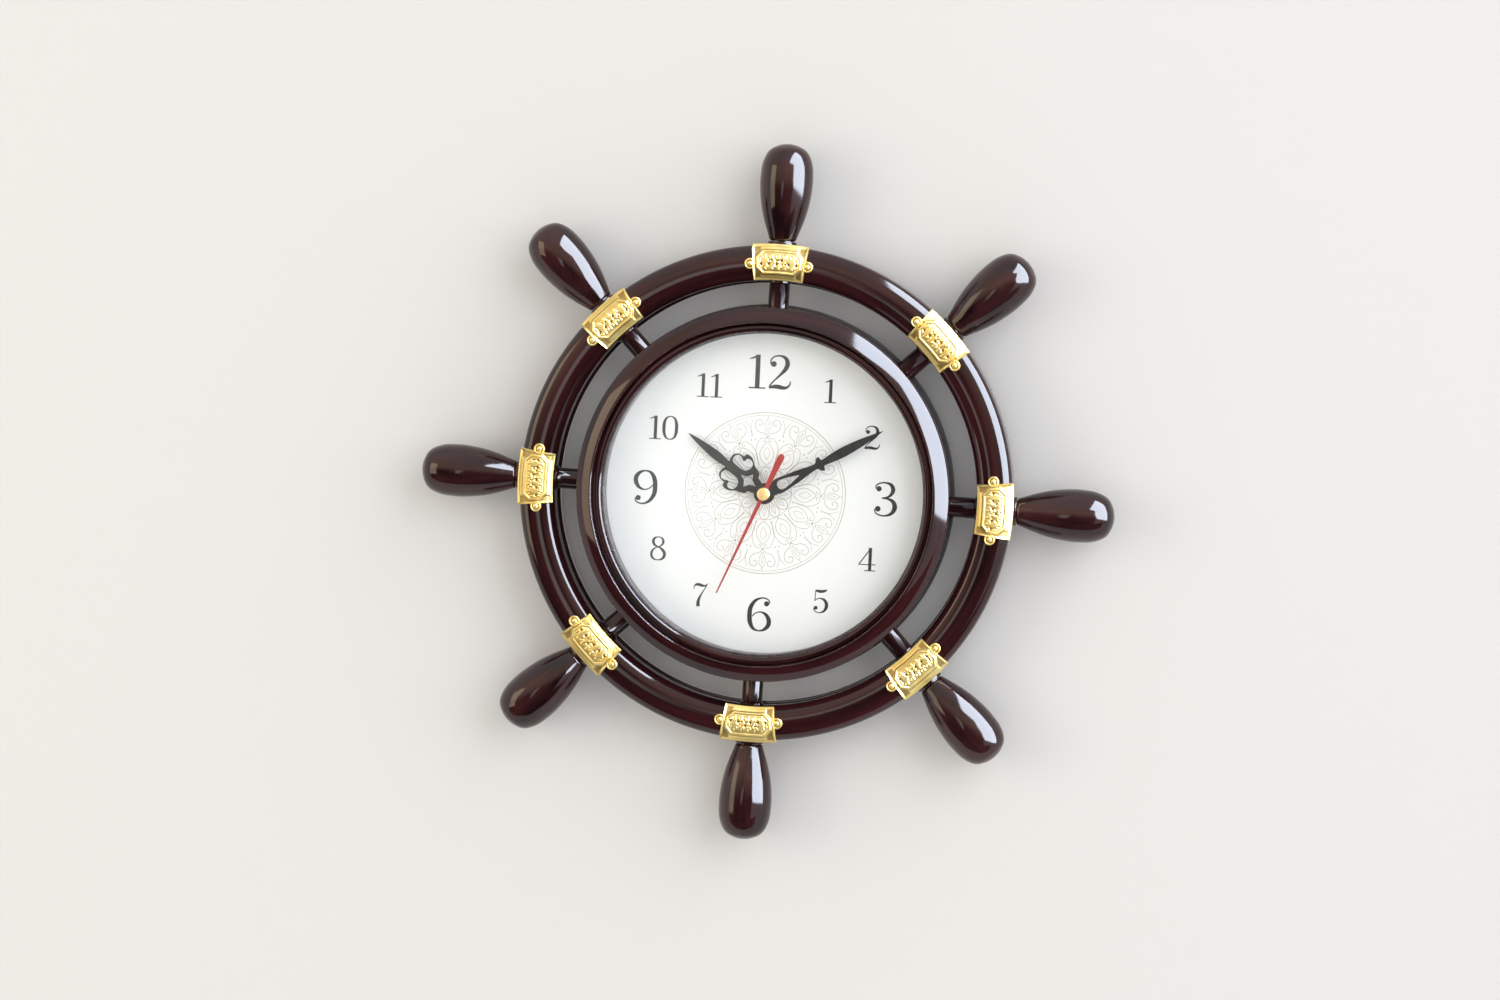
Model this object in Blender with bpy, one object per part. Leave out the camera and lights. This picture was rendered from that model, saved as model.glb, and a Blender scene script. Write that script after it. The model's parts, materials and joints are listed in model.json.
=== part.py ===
"""Ship wheel wall clock: eight handles and spokes, a hollow rim, a bezel and a quartz movement.

Metres, +Z up. The dial faces -Y and the wall is the plane y = 0. The origin is the seat of the nail in the
keyhole. Everything is built around the dial's axis: x to the right, y up, z out of the wall, and one empty
turns that into the world's axes.
"""

from math import cos, pi, radians, sin

import bmesh
import bpy
from mathutils import Matrix, Vector

# Overall layout. The bezel's outer radius sets the size of every ring, spoke and hand.
BEZEL_OUTER_R = 0.0948
SPOKE_LENGTH = 0.0130
RIM_WIDTH = 0.0181
SPOKES = 8
SPOKE_D = 0.0170  # depth of the spokes' plane in front of the wall
RING_STEPS = 40  # facets round each large ring, a multiple of SPOKES
GAP = 0.0003  # clearance between faces that touch on the real clock
OVERRUN = 0.0010  # how far a cutter passes the face it cuts

# Rim: a hollow D-shaped front shell on a flat back ring
RIM_INNER_R = BEZEL_OUTER_R + SPOKE_LENGTH
RIM_OUTER_R = RIM_INNER_R + RIM_WIDTH
RIM_WALL = 0.0022
RIM_FRONT_D = 0.0270
RIM_SHELL_BACK_D = 0.0095
RIM_SHOULDER_D = 0.0205
RIM_CROWN_POWER = 2.4
RIM_CROWN_SHARES = (1.0, 0.82, 0.5, 0.0)  # places across the crown's half width
RIM_CAVITY_SHARES = (1.0, 0.6)
RIM_BACK_THICKNESS = 0.0020
RIM_BACK_LIP = 0.0010  # the back ring shows this far inside the shell

# Handles, turned: distance from the tip and radius, as shares of the length and of the greatest radius
HANDLE_LENGTH = 0.0492
HANDLE_R = 0.0134
HANDLE_STEPS = 12
HANDLE_SHARES = (
    (0.0, 0.0), (0.015, 0.36), (0.065, 0.70), (0.15, 0.90), (0.28, 0.99), (0.46, 1.0),
    (0.64, 0.92), (0.80, 0.78), (0.93, 0.59), (1.0, 0.49),
)
COLLAR_R = 0.0073
COLLAR_THICKNESS = 0.0022
TENON_R = 0.0030
TENON_REACH = 0.0030  # how far a tenon stands past the wall it enters
TENON_STEPS = 8

# Spokes
SPOKE_R = 0.00525
SPOKE_STEPS = 10
SPOKE_FOOT_R = 0.0062
SPOKE_FOOT_THICKNESS = 0.0012

# Rim plates
PLATE_LENGTH = 0.0270
PLATE_THICKNESS = 0.0012
PLATE_SPAN_SHARE = 0.97  # of the rim's half width
PANEL_LENGTH_SHARE = 0.72
PANEL_WIDTH_SHARE = 0.30  # half width, of the plate's span
PANEL_CLIP_SHARE = 0.16  # clipped corners, of the panel's length
PANEL_RISE = 0.0008
PANEL_ROOT = 0.0002  # the panel starts this far above the plate's under side
EAR_R = 0.00285
EAR_OFFSET = 0.0011  # the ear's centre past the plate's end
EAR_STEPS = 8
EAR_THICKNESS = 0.0012
STUD_R = 0.0014
STUD_RISE = 0.0009
PEG_R = 0.0010
PEG_STEPS = 6

# Bezel: a half-round moulding, a crease and a small bead at the glass
BEZEL_MOULDING_WIDTH = 0.0085
BEZEL_BEAD_WIDTH = 0.0040
BEZEL_CREASE_R = BEZEL_OUTER_R - BEZEL_MOULDING_WIDTH
BEZEL_LIP_R = BEZEL_CREASE_R - BEZEL_BEAD_WIDTH
BEZEL_FRONT_D = 0.0394
BEZEL_CREASE_D = 0.0345
BEZEL_SHOULDER_D = 0.0325
BEZEL_BEAD_RISE = 0.0010
BEZEL_WALL = 0.0022
BEZEL_CROWN_STEPS = 6
BEZEL_BEAD_STEPS = 2

# Rear case
CASE_FLANGE_EDGE = 0.0010  # the flange shows this far outside the bezel
CASE_WALL_INSET = 0.0014
CASE_TAPER = 0.0029
CASE_FLANGE_R = BEZEL_OUTER_R + CASE_FLANGE_EDGE
CASE_WALL_R = BEZEL_OUTER_R - CASE_WALL_INSET
CASE_BACK_R = CASE_WALL_R - CASE_TAPER
CASE_CHAMFER = 0.0028
CASE_WALL = 0.0022
CASE_FLANGE_BACK_D = 0.0090
CASE_FLANGE_D = 0.0110
DIAL_REST_INSET = 0.0148  # from the bezel's outer radius, as the insets below
DIAL_REST_R = BEZEL_OUTER_R - DIAL_REST_INSET
DIAL_REST_WALL = 0.0016
WINDOW_CLEARANCE = 0.0012
KEYHOLE_INSET = 0.0205  # the nail's seat from the edge of the back
HANG_DROP = CASE_BACK_R - KEYHOLE_INSET  # the nail's seat above the dial's axis
KEYHOLE_HEAD_R = 0.0046
KEYHOLE_SLOT_R = 0.0023
KEYHOLE_DROP = 0.0090
KEYHOLE_STEPS = 12

# Case screws, on the bosses that stand between the spokes
SCREWS = 4
SCREW_INSET = 0.0073
SCREW_CIRCLE_R = BEZEL_OUTER_R - SCREW_INSET
SCREW_FIRST_ANGLE = radians(22.5)
SCREW_R = 0.0013
SCREW_HEAD_R = 0.0026
SCREW_HEAD_THICKNESS = 0.0018
SCREW_LENGTH = 0.0080
SCREW_STEPS = 8
SCREW_SLOT_WIDTH = 0.0008
SCREW_SLOT_DEPTH = 0.0008
BOSS_STEPS = 12
BOSS_WALL = 0.0008
COUNTERBORE_FLOOR = 0.0018

# Dial, spacer and glass
DIAL_INSET = 0.0088
DIAL_R = BEZEL_OUTER_R - DIAL_INSET
DIAL_BACK_D = 0.0185
DIAL_THICKNESS = 0.0010
LENS_INSET = 0.0068
LENS_R = BEZEL_OUTER_R - LENS_INSET
LENS_THICKNESS = 0.0020
SPACER_INSET = 0.0022  # from the dial's edge
SPACER_WALL = 0.0025
SPACER_OUTER_R = DIAL_R - SPACER_INSET
SPACER_INNER_R = SPACER_OUTER_R - SPACER_WALL

# Hands: shares of the hand's length, along it and to each side
HAND_THICKNESS = 0.0006
HAND_HUB_R = 0.0053
HOUR_ANGLE = radians(304.3)
MINUTE_ANGLE = radians(58.3)
SECOND_ANGLE = radians(201.8)
HOUR_LENGTH_SHARE = 0.6064  # of the spacer ring's inner radius, as the two below
HOUR_LENGTH = SPACER_INNER_R * HOUR_LENGTH_SHARE
HOUR_OUTLINE_SHARES = (
    (0.150, 0.085), (0.191, 0.136), (0.247, 0.158), (0.314, 0.205), (0.387, 0.207),
    (0.402, 0.168), (0.471, 0.155), (0.503, 0.099), (0.493, 0.035), (0.548, 0.040), (0.641, 0.047),
    (0.771, 0.038), (0.903, 0.021), (1.0, 0.003),
)
HOUR_STAR_SHARES = (
    (0.116, 0.0), (0.180, 0.024), (0.215, 0.079), (0.247, 0.024), (0.308, 0.0),
    (0.247, -0.024), (0.215, -0.079), (0.180, -0.024),
)
HOUR_SCROLL_SHARES = (
    (0.456, 0.136), (0.475, 0.093), (0.436, 0.059), (0.361, 0.055), (0.316, 0.065),
    (0.282, 0.112), (0.292, 0.158), (0.337, 0.177), (0.357, 0.132), (0.402, 0.128),
)
MINUTE_LENGTH_SHARE = 0.8426
MINUTE_LENGTH = SPACER_INNER_R * MINUTE_LENGTH_SHARE
MINUTE_OUTLINE_SHARES = (
    (0.092, 0.050), (0.127, 0.058), (0.204, 0.051), (0.295, 0.041), (0.365, 0.028),
    (0.428, 0.021), (0.479, 0.057), (0.504, 0.023), (0.569, 0.031), (0.663, 0.0365), (0.818, 0.028),
    (0.934, 0.012), (1.0, 0.002),
)
MINUTE_DROP_SHARES = (
    (0.114, 0.0), (0.123, 0.025), (0.143, 0.0365), (0.190, 0.031), (0.248, 0.015), (0.293, 0.0),
    (0.248, -0.015), (0.190, -0.031), (0.143, -0.0365), (0.123, -0.025),
)
SECOND_LENGTH_SHARE = 0.69
SECOND_LENGTH = SPACER_INNER_R * SECOND_LENGTH_SHARE
SECOND_HUB_R = 0.0026
SECOND_TAIL_SHARES = ((-0.400, 0.012), (-0.388, 0.025), (-0.36, 0.030))
SECOND_TIP_SHARES = ((1.0, 0.0062),)
HUB_START = radians(-82)  # a hub's arc on the right side, from its foot to where the blade leaves it
HUB_END = radians(38)
HUB_STEPS = 6
SECOND_HUB_ARC = radians(62)
CAP_R = 0.0033
CAP_DOME = 0.0012
CAP_DOME_SHARES = (1, 0.8, 0.45, 0)  # of the cap's radius, where the dome has a ring
CAP_SKIRT = 0.0008

# Depths of the hands
NUT_R = 0.0050
NUT_THICKNESS = 0.0016
HOUR_HAND_D = 0.0219
MINUTE_HAND_D = 0.0240
SECOND_HAND_D = 0.0260
TUBE_STAND = 0.0006  # a tube's end past its hand

# Battery, and the movement's square case that is as wide as the battery and its contacts need
BATTERY_LENGTH = 0.0505
BATTERY_R_SHARE = 0.14356  # of the length
BATTERY_R = BATTERY_LENGTH * BATTERY_R_SHARE
BATTERY_NUB_R_SHARE = 0.38  # of the radius
BATTERY_NUB = 0.0015
BATTERY_CLEARANCE = 0.0004
BATTERY_STEPS = 16
CONTACT_ROOM = 0.0035  # from each end of the battery to the case's outside
MOVEMENT_SIZE = BATTERY_LENGTH + 2 * CONTACT_ROOM
MOVEMENT_BACK_D = 0.0012
MOVEMENT_FRONT_D = 0.0182
MOVEMENT_LID = 0.0015
MOVEMENT_WALL = 0.0012
BAY_TOP_SHARE = -0.2122  # upper edge of the battery bay, of the case's size
BAY_TOP = MOVEMENT_SIZE * BAY_TOP_SHARE
BUSH_R = 0.0039
BUSH_STEPS = 16
ROUND_STEPS = 12

# Coaxial tubes and arbors, inside to outside
SECOND_ARBOR_R = 0.0005
MINUTE_TUBE_BORE_R = 0.0008
MINUTE_TUBE_R = 0.0016
HOUR_TUBE_BORE_R = 0.0019
HOUR_TUBE_R = 0.0025
ARBOR_R = 0.0006
STEM_R = 0.0009

# Going train and motion work: tooth counts and modules
TRAIN_MODULE_SHARE = 0.007826  # of the movement's size
TRAIN_MODULE = MOVEMENT_SIZE * TRAIN_MODULE_SHARE
MOTION_DISTANCE_SHARE = 0.2087
MOTION_DISTANCE = MOVEMENT_SIZE * MOTION_DISTANCE_SHARE  # from the hands' axis to the minute wheel's stem
PINION_TEETH = 6
STEP_TEETH = 30
SECOND_TEETH = 36
THIRD_TEETH = 45
CENTRE_TEETH = 48
CANNON_TEETH = 8
MINUTE_TEETH = 24
MINUTE_PINION_TEETH = 6
HOUR_TEETH = 24
TOOTH_TIP_SHARE = 0.8  # of the module, above the pitch circle
TOOTH_ROOT_SHARE = 1.25  # of the module, below it
TOOTH_FOOT_WIDTH_SHARE = 0.46  # of the pitch
TOOTH_TIP_WIDTH_SHARE = 0.14  # pinions only: a wheel's teeth are pointed

# Where the arbors stand, by direction from the dial's axis or from the arbor that drives them
STEP_DIRECTION = radians(170)
ROTOR_DIRECTION = radians(120)
THIRD_DIRECTION = radians(20)
STEM_DIRECTION = radians(90)

# Depths of the wheels
WHEEL_THICKNESS = 0.0010
PINION_EXTRA = 0.0003  # a pinion is this much deeper than its wheel, on both sides
STEP_WHEEL_D = 0.0040
SECOND_WHEEL_D = 0.0056
THIRD_WHEEL_D = 0.0076
MIDDLE_PLATE_D = 0.0093
MIDDLE_PLATE_THICKNESS = 0.0006
CENTRE_WHEEL_D = 0.0105
MINUTE_WHEEL_D = 0.0123
HOUR_WHEEL_D = 0.0143

# Motor: shares are of the movement's size
ROTOR_R_SHARE = 0.0487
ROTOR_BACK_D = 0.0070
ROTOR_THICKNESS = 0.0020
STATOR_D = 0.0080
STATOR_THICKNESS = 0.0008
STATOR_ARM_SHARE = 0.0696
STATOR_SPINE_SHARE = 0.1043
STATOR_BORE_R_SHARE = 0.0591
STATOR_POLE_SHARE = 0.1461
STATOR_LOW_SHARE = -0.1565
STATOR_HIGH_SHARE = 0.4174
COIL_X_SHARE = -0.3826
COIL_R_SHARE = 0.0539
COIL_FLANGE_R_SHARE = 0.0626
COIL_FLANGE = 0.0010

# Board, posts, knob and contacts: shares are of the movement's size
BOARD_CORNER_SHARES = (0.1044, 0.2783)
BOARD_SIZE_SHARES = (0.3478, 0.1739)
BOARD_D = 0.0060
BOARD_THICKNESS = 0.0010
CHIP_SIZE_SHARE = 0.087
CHIP_RISE = 0.0012
PLATE_LOW_SHARES = (-0.3009, -0.1635)
PLATE_HIGH_SHARES = (0.3826, 0.2783)
POST_R = 0.0012
POST_PLACE_SHARES = ((0.3478, -0.1357), (0.3548, 0.2504), (-0.1148, -0.1461), (-0.1183, 0.2539))
BOARD_POST_PLACE_SHARES = ((0.1565, 0.4087), (0.4000, 0.4087))
KNOB_R = 0.0040
KNOB_THICKNESS = 0.0028
KNOB_RIBS = 10
KNOB_RIB_SHARES = ((1, 0.25), (1, 0.75), (0.88, 1))  # of the radius, and of a rib's turn
KNOB_WELL_R = 0.0046
KNOB_WELL_DEPTH = 0.0030
KNOB_WELL_WALL = 0.0008
CONTACT_THICKNESS = 0.0005
CONTACT_WIDTH_SHARE = 1.24  # of the battery's radius

COLOURS = {
    "lacquer": ((0.045, 0.010, 0.014), 0.12, 0.0),
    "gold": ((0.83, 0.55, 0.10), 0.25, 1.0),
    "dark_inner": ((0.020, 0.008, 0.010), 0.40, 0.0),
    "dial_white": ((0.86, 0.87, 0.86), 0.45, 0.0),
    "clear": ((0.95, 0.97, 0.97), 0.03, 0.0),
    "hand_black": ((0.010, 0.009, 0.009), 0.35, 0.0),
    "hand_red": ((0.52, 0.025, 0.018), 0.35, 0.0),
    "brass": ((0.78, 0.55, 0.22), 0.25, 1.0),
    "steel": ((0.56, 0.56, 0.57), 0.30, 1.0),
    "black_plastic": ((0.014, 0.014, 0.015), 0.45, 0.0),
    "white_plastic": ((0.80, 0.80, 0.77), 0.40, 0.0),
    "board_green": ((0.02, 0.15, 0.07), 0.50, 0.0),
    "copper": ((0.72, 0.28, 0.12), 0.35, 1.0),
    "battery_wrap": ((0.03, 0.06, 0.16), 0.30, 0.0),
}


def clear_scene():
    for obj in list(bpy.data.objects):
        bpy.data.objects.remove(obj, do_unlink=True)


def material(name):
    """The Principled material of that name, made once."""
    found = bpy.data.materials.get(name)
    if found:
        return found
    colour, roughness, metallic = COLOURS[name]
    made = bpy.data.materials.new(name)
    made.use_nodes = True
    shader = made.node_tree.nodes["Principled BSDF"]
    shader.inputs["Base Color"].default_value = (*colour, 1.0)
    shader.inputs["Roughness"].default_value = roughness
    shader.inputs["Metallic"].default_value = metallic
    made.diffuse_color = (*colour, 1.0)
    return made


def empty(name, parent=None, place=(0, 0, 0), turn=(0, 0, 0)):
    made = bpy.data.objects.new(name, None)
    bpy.context.scene.collection.objects.link(made)
    made.parent = parent
    made.location = place
    made.rotation_euler = turn
    return made


def mesh_object(name, bm, finish, parent=None, place=(0, 0, 0), turn=(0, 0, 0)):
    """A named piece from a bmesh, with its faces out, smooth where it is round."""
    bmesh.ops.recalc_face_normals(bm, faces=bm.faces)
    mesh = bpy.data.meshes.new(name)
    bm.to_mesh(mesh)
    bm.free()
    return placed(name, mesh, finish, parent, place, turn)


def placed(name, mesh, finish, parent=None, place=(0, 0, 0), turn=(0, 0, 0)):
    """A named piece that may share its mesh with its like."""
    mesh.shade_smooth()
    mesh.set_sharp_from_angle(angle=radians(30))
    if not mesh.materials:
        mesh.materials.append(material(finish))
    obj = bpy.data.objects.new(name, mesh)
    bpy.context.scene.collection.objects.link(obj)
    obj.parent = parent
    obj.location = place
    obj.rotation_euler = turn
    return obj


def prism(points, low, high):
    """The outline's points, x and y, extruded from z = low to z = high."""
    bm = bmesh.new()
    face = bm.faces.new([bm.verts.new((x, y, low)) for x, y in points])
    side = bmesh.ops.extrude_face_region(bm, geom=[face])
    moved = [v for v in side["geom"] if isinstance(v, bmesh.types.BMVert)]
    bmesh.ops.translate(bm, verts=moved, vec=(0, 0, high - low))
    return bm


def circle(radius, steps, centre=(0, 0), phase=0.0):
    turns = [phase + 2 * pi * k / steps for k in range(steps)]
    return [(centre[0] + radius * cos(a), centre[1] + radius * sin(a)) for a in turns]


def disc(radius, low, high, steps=ROUND_STEPS, centre=(0, 0)):
    return prism(circle(radius, steps, centre), low, high)


def rectangle(low, high):
    return [(low[0], low[1]), (high[0], low[1]), (high[0], high[1]), (low[0], high[1])]


def block(low, high, back, front):
    return prism(rectangle(low, high), back, front)


def turned(profile, steps, phase=0.0):
    """A profile of radii and heights turned about z. One that starts and ends on the axis is solid, and any
    other is closed into a ring."""
    bm = bmesh.new()
    solid = profile[0][0] == 0 and profile[-1][0] == 0
    angles = [phase + 2 * pi * k / steps for k in range(steps)]
    rings = []
    for radius, height in profile:
        around = angles if radius > 0 else angles[:1]
        rings.append([bm.verts.new((radius * cos(a), radius * sin(a), height)) for a in around])
    if not solid:
        rings.append(rings[0])
    for first, second in zip(rings, rings[1:]):
        for k in range(steps):
            corners = []
            for ring, step in ((first, k), (first, k + 1), (second, k + 1), (second, k)):
                corner = ring[step % len(ring)]
                if corner not in corners:
                    corners.append(corner)
            if len(corners) > 2:
                bm.faces.new(corners)
    return bm


def combined(obj, others, operation):
    """Joins the other bmeshes to the object's mesh, or cuts them from it, and keeps the result."""
    for bm in others:
        tool = mesh_object("tool", bm, "steel")
        change = obj.modifiers.new("combine", "BOOLEAN")
        change.operation = operation
        change.object = tool
        graph = bpy.context.evaluated_depsgraph_get()
        mesh = bpy.data.meshes.new_from_object(obj.evaluated_get(graph))
        obj.modifiers.clear()
        old = obj.data
        keep = old.name
        obj.data = mesh
        bpy.data.meshes.remove(old)
        mesh.name = keep
        leftover = tool.data
        bpy.data.objects.remove(tool)
        bpy.data.meshes.remove(leftover)
    obj.data.materials.clear()
    return obj


def solid(name, finish, parts, cuts=(), parent=None, place=(0, 0, 0), turn=(0, 0, 0)):
    """One piece from bmeshes that overlap, less the cuts."""
    obj = mesh_object(name, parts[0], finish)
    combined(obj, parts[1:], "UNION")
    combined(obj, cuts, "DIFFERENCE")
    mesh = obj.data
    bpy.data.objects.remove(obj)
    return placed(name, mesh, finish, parent, place, turn)


def facet_share():
    """A facet's middle lies this share of the radius from the axis."""
    return cos(pi / RING_STEPS)


def ring_phase():
    """Turns the large rings so that a facet's middle meets each spoke."""
    return pi / RING_STEPS


def rim_middle():
    return (RIM_OUTER_R + RIM_INNER_R) / 2


def rim_half():
    return (RIM_OUTER_R - RIM_INNER_R) / 2


def crown(shoulder, top, share):
    """Depth of the rim's rounded crown at a share of its half width."""
    return shoulder + (top - shoulder) * (1 - abs(share) ** RIM_CROWN_POWER) ** (1 / RIM_CROWN_POWER)


def crown_profile(half, shoulder, top, shares):
    """The crown from its inner to its outer shoulder, as radii and depths."""
    across = [-s for s in shares] + [s for s in reversed(shares) if s]
    return [(rim_middle() + half * s, crown(shoulder, top, s)) for s in across]


def radial(bm, angle, reach):
    """Lays a bmesh made along z along the spoke at that angle, its z = 0 at the given reach."""
    along = Matrix.Rotation(-pi / 2, 4, "X")
    lay = Matrix.Rotation(angle, 4, "Z") @ Matrix.Translation((0, reach, SPOKE_D)) @ along
    bmesh.ops.transform(bm, matrix=lay, verts=bm.verts)
    return bm


def spoke_angles():
    return [-2 * pi * k / SPOKES for k in range(SPOKES)]


def tenon_holes(reach, length):
    """Cutters for the tenons through one wall, from a reach outwards."""
    radius = TENON_R + GAP
    return [radial(disc(radius, 0, length, TENON_STEPS), a, reach) for a in spoke_angles()]


def peg_places():
    """Where a plate's two pegs stand, across and along the spoke from the dial's axis, at the spoke at 12."""
    across = PLATE_LENGTH / 2 + EAR_OFFSET
    return [(side * across, (rim_middle() ** 2 - across ** 2) ** 0.5) for side in (-1, 1)]


def make_rim(clock):
    outside = crown_profile(rim_half(), RIM_SHOULDER_D, RIM_FRONT_D, RIM_CROWN_SHARES)
    inner_half = rim_half() - RIM_WALL
    inside = crown_profile(inner_half, RIM_SHOULDER_D, RIM_FRONT_D - RIM_WALL, RIM_CAVITY_SHARES)
    foot = [(RIM_OUTER_R, RIM_SHELL_BACK_D), (RIM_OUTER_R - RIM_WALL, RIM_SHELL_BACK_D)]
    end = [(RIM_INNER_R + RIM_WALL, RIM_SHELL_BACK_D), (RIM_INNER_R, RIM_SHELL_BACK_D)]
    shell = turned(outside + foot + inside[::-1] + end, RING_STEPS, ring_phase())
    length = RIM_WALL + 2 * OVERRUN
    cuts = tenon_holes(RIM_INNER_R * facet_share() - OVERRUN, length)
    cuts += tenon_holes(RIM_OUTER_R * facet_share() - RIM_WALL - OVERRUN, length)
    for angle in spoke_angles():
        for place in peg_places():
            hole = disc(PEG_R + GAP, RIM_SHOULDER_D, RIM_FRONT_D + OVERRUN, PEG_STEPS, place)
            bmesh.ops.rotate(hole, cent=(0, 0, 0), matrix=Matrix.Rotation(angle, 3, "Z"), verts=hole.verts)
            cuts.append(hole)
    solid("rim_front", "lacquer", [shell], cuts, clock)
    front = RIM_SHELL_BACK_D - GAP
    back = front - RIM_BACK_THICKNESS
    inner = RIM_INNER_R - RIM_BACK_LIP
    flat = [(inner, back), (inner, front), (RIM_OUTER_R, front), (RIM_OUTER_R, back)]
    mesh_object("rim_back", turned(flat, RING_STEPS, ring_phase()), "lacquer", clock)


def make_handles(spoke_frames):
    """Each handle runs from its tenon in the rim, through the collar, to the tip."""
    seat = RIM_OUTER_R * facet_share() + GAP
    length = COLLAR_THICKNESS + GAP + HANDLE_LENGTH
    grip = [(HANDLE_R * r, length - HANDLE_LENGTH * z) for z, r in HANDLE_SHARES]
    tenon = RIM_WALL + TENON_REACH
    profile = grip + [
        (COLLAR_R, COLLAR_THICKNESS), (COLLAR_R, 0),
        (TENON_R, 0), (TENON_R, -tenon), (0, -tenon),
    ]
    bm = turned(profile, HANDLE_STEPS)
    bmesh.ops.recalc_face_normals(bm, faces=bm.faces)
    mesh = bpy.data.meshes.new("handle")
    bm.to_mesh(mesh)
    bm.free()
    for k, frame in enumerate(spoke_frames, 1):
        placed(f"handle_{k}", mesh, "lacquer", frame, (0, seat, SPOKE_D), (-pi / 2, 0, 0))


def make_spokes(spoke_frames):
    low = BEZEL_OUTER_R * facet_share() + GAP
    high = RIM_INNER_R * facet_share() - GAP
    reach = RIM_WALL + TENON_REACH
    length = high - low
    profile = [
        (0, -BEZEL_WALL - TENON_REACH), (TENON_R, -BEZEL_WALL - TENON_REACH), (TENON_R, 0), (SPOKE_R, 0),
        (SPOKE_R, length - SPOKE_FOOT_THICKNESS), (SPOKE_FOOT_R, length - SPOKE_FOOT_THICKNESS / 2),
        (SPOKE_FOOT_R, length), (TENON_R, length), (TENON_R, length + reach), (0, length + reach),
    ]
    bm = turned(profile, SPOKE_STEPS)
    bmesh.ops.recalc_face_normals(bm, faces=bm.faces)
    mesh = bpy.data.meshes.new("spoke")
    bm.to_mesh(mesh)
    bm.free()
    for k, frame in enumerate(spoke_frames, 1):
        placed(f"spoke_{k}", mesh, "lacquer", frame, (0, low, SPOKE_D), (-pi / 2, 0, 0))


def band(half, low, high, angles, across):
    """A strip of the rim's crown, between two heights over it, swept through the angles."""
    bm = bmesh.new()
    loops = []
    for angle in angles:
        turn = Matrix.Rotation(angle, 3, "Z")
        loop = []
        for lift, order in ((low, across), (high, across[::-1])):
            for share in order:
                radius = rim_middle() + half * share
                depth = crown(RIM_SHOULDER_D, RIM_FRONT_D, share) + lift
                loop.append(bm.verts.new(turn @ Vector((0, radius, depth))))
        loops.append(loop)
    count = len(loops[0])
    for first, second in zip(loops, loops[1:]):
        for k in range(count):
            nxt = (k + 1) % count
            bm.faces.new((first[k], first[nxt], second[nxt], second[k]))
    bm.faces.new(loops[0])
    bm.faces.new(loops[-1][::-1])
    return bm


def plate_panel():
    """The raised middle panel, with clipped corners, that stands on the plate."""
    length = PLATE_LENGTH * PANEL_LENGTH_SHARE / 2
    width = rim_half() * 2 * PANEL_WIDTH_SHARE
    clip = PLATE_LENGTH * PANEL_CLIP_SHARE / 2
    corners = []
    for sx, sy in ((1, 1), (-1, 1), (-1, -1), (1, -1)):
        far = (sx * length, rim_middle() + sy * (width - clip))
        near = (sx * (length - clip), rim_middle() + sy * width)
        corners += [far, near] if sx == sy else [near, far]
    top = RIM_FRONT_D + GAP + PLATE_THICKNESS + PANEL_RISE
    return prism(corners, RIM_FRONT_D + GAP + PANEL_ROOT, top)


def plate_angles():
    """The plate's ends and the rim's facet edges between them."""
    end = PLATE_LENGTH / 2 / rim_middle()
    facet = 2 * pi / RING_STEPS
    edges = [facet * (k + 1 / 2) for k in range(-RING_STEPS // 2, RING_STEPS // 2)]
    return [-end] + [a for a in edges if -end < a < end] + [end]


def make_plates(spoke_frames):
    inside = [s for s in RIM_CROWN_SHARES if s < PLATE_SPAN_SHARE]
    half_across = [PLATE_SPAN_SHARE] + inside
    across = [-s for s in half_across] + [s for s in reversed(half_across) if s]
    plate = band(rim_half(), GAP, GAP + PLATE_THICKNESS, plate_angles(), across)
    seat = RIM_FRONT_D + GAP
    extras = [plate_panel()]
    for place in peg_places():
        extras.append(disc(EAR_R, seat, seat + EAR_THICKNESS, EAR_STEPS, place))
        extras.append(disc(STUD_R, seat, seat + EAR_THICKNESS + STUD_RISE, EAR_STEPS, place))
        extras.append(disc(PEG_R, RIM_FRONT_D - RIM_WALL - OVERRUN, seat + GAP, PEG_STEPS, place))
    first = solid("rim_plate_1", "gold", [plate] + extras, (), spoke_frames[0])
    for k, frame in enumerate(spoke_frames[1:], 2):
        placed(f"rim_plate_{k}", first.data, "gold", frame)


def arc_points(centre, size, start, end, steps):
    """Points on an ellipse's arc, x and y, with both ends."""
    angles = [start + (end - start) * k / steps for k in range(steps + 1)]
    return [(centre[0] + size[0] * cos(a), centre[1] + size[1] * sin(a)) for a in angles]


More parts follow.
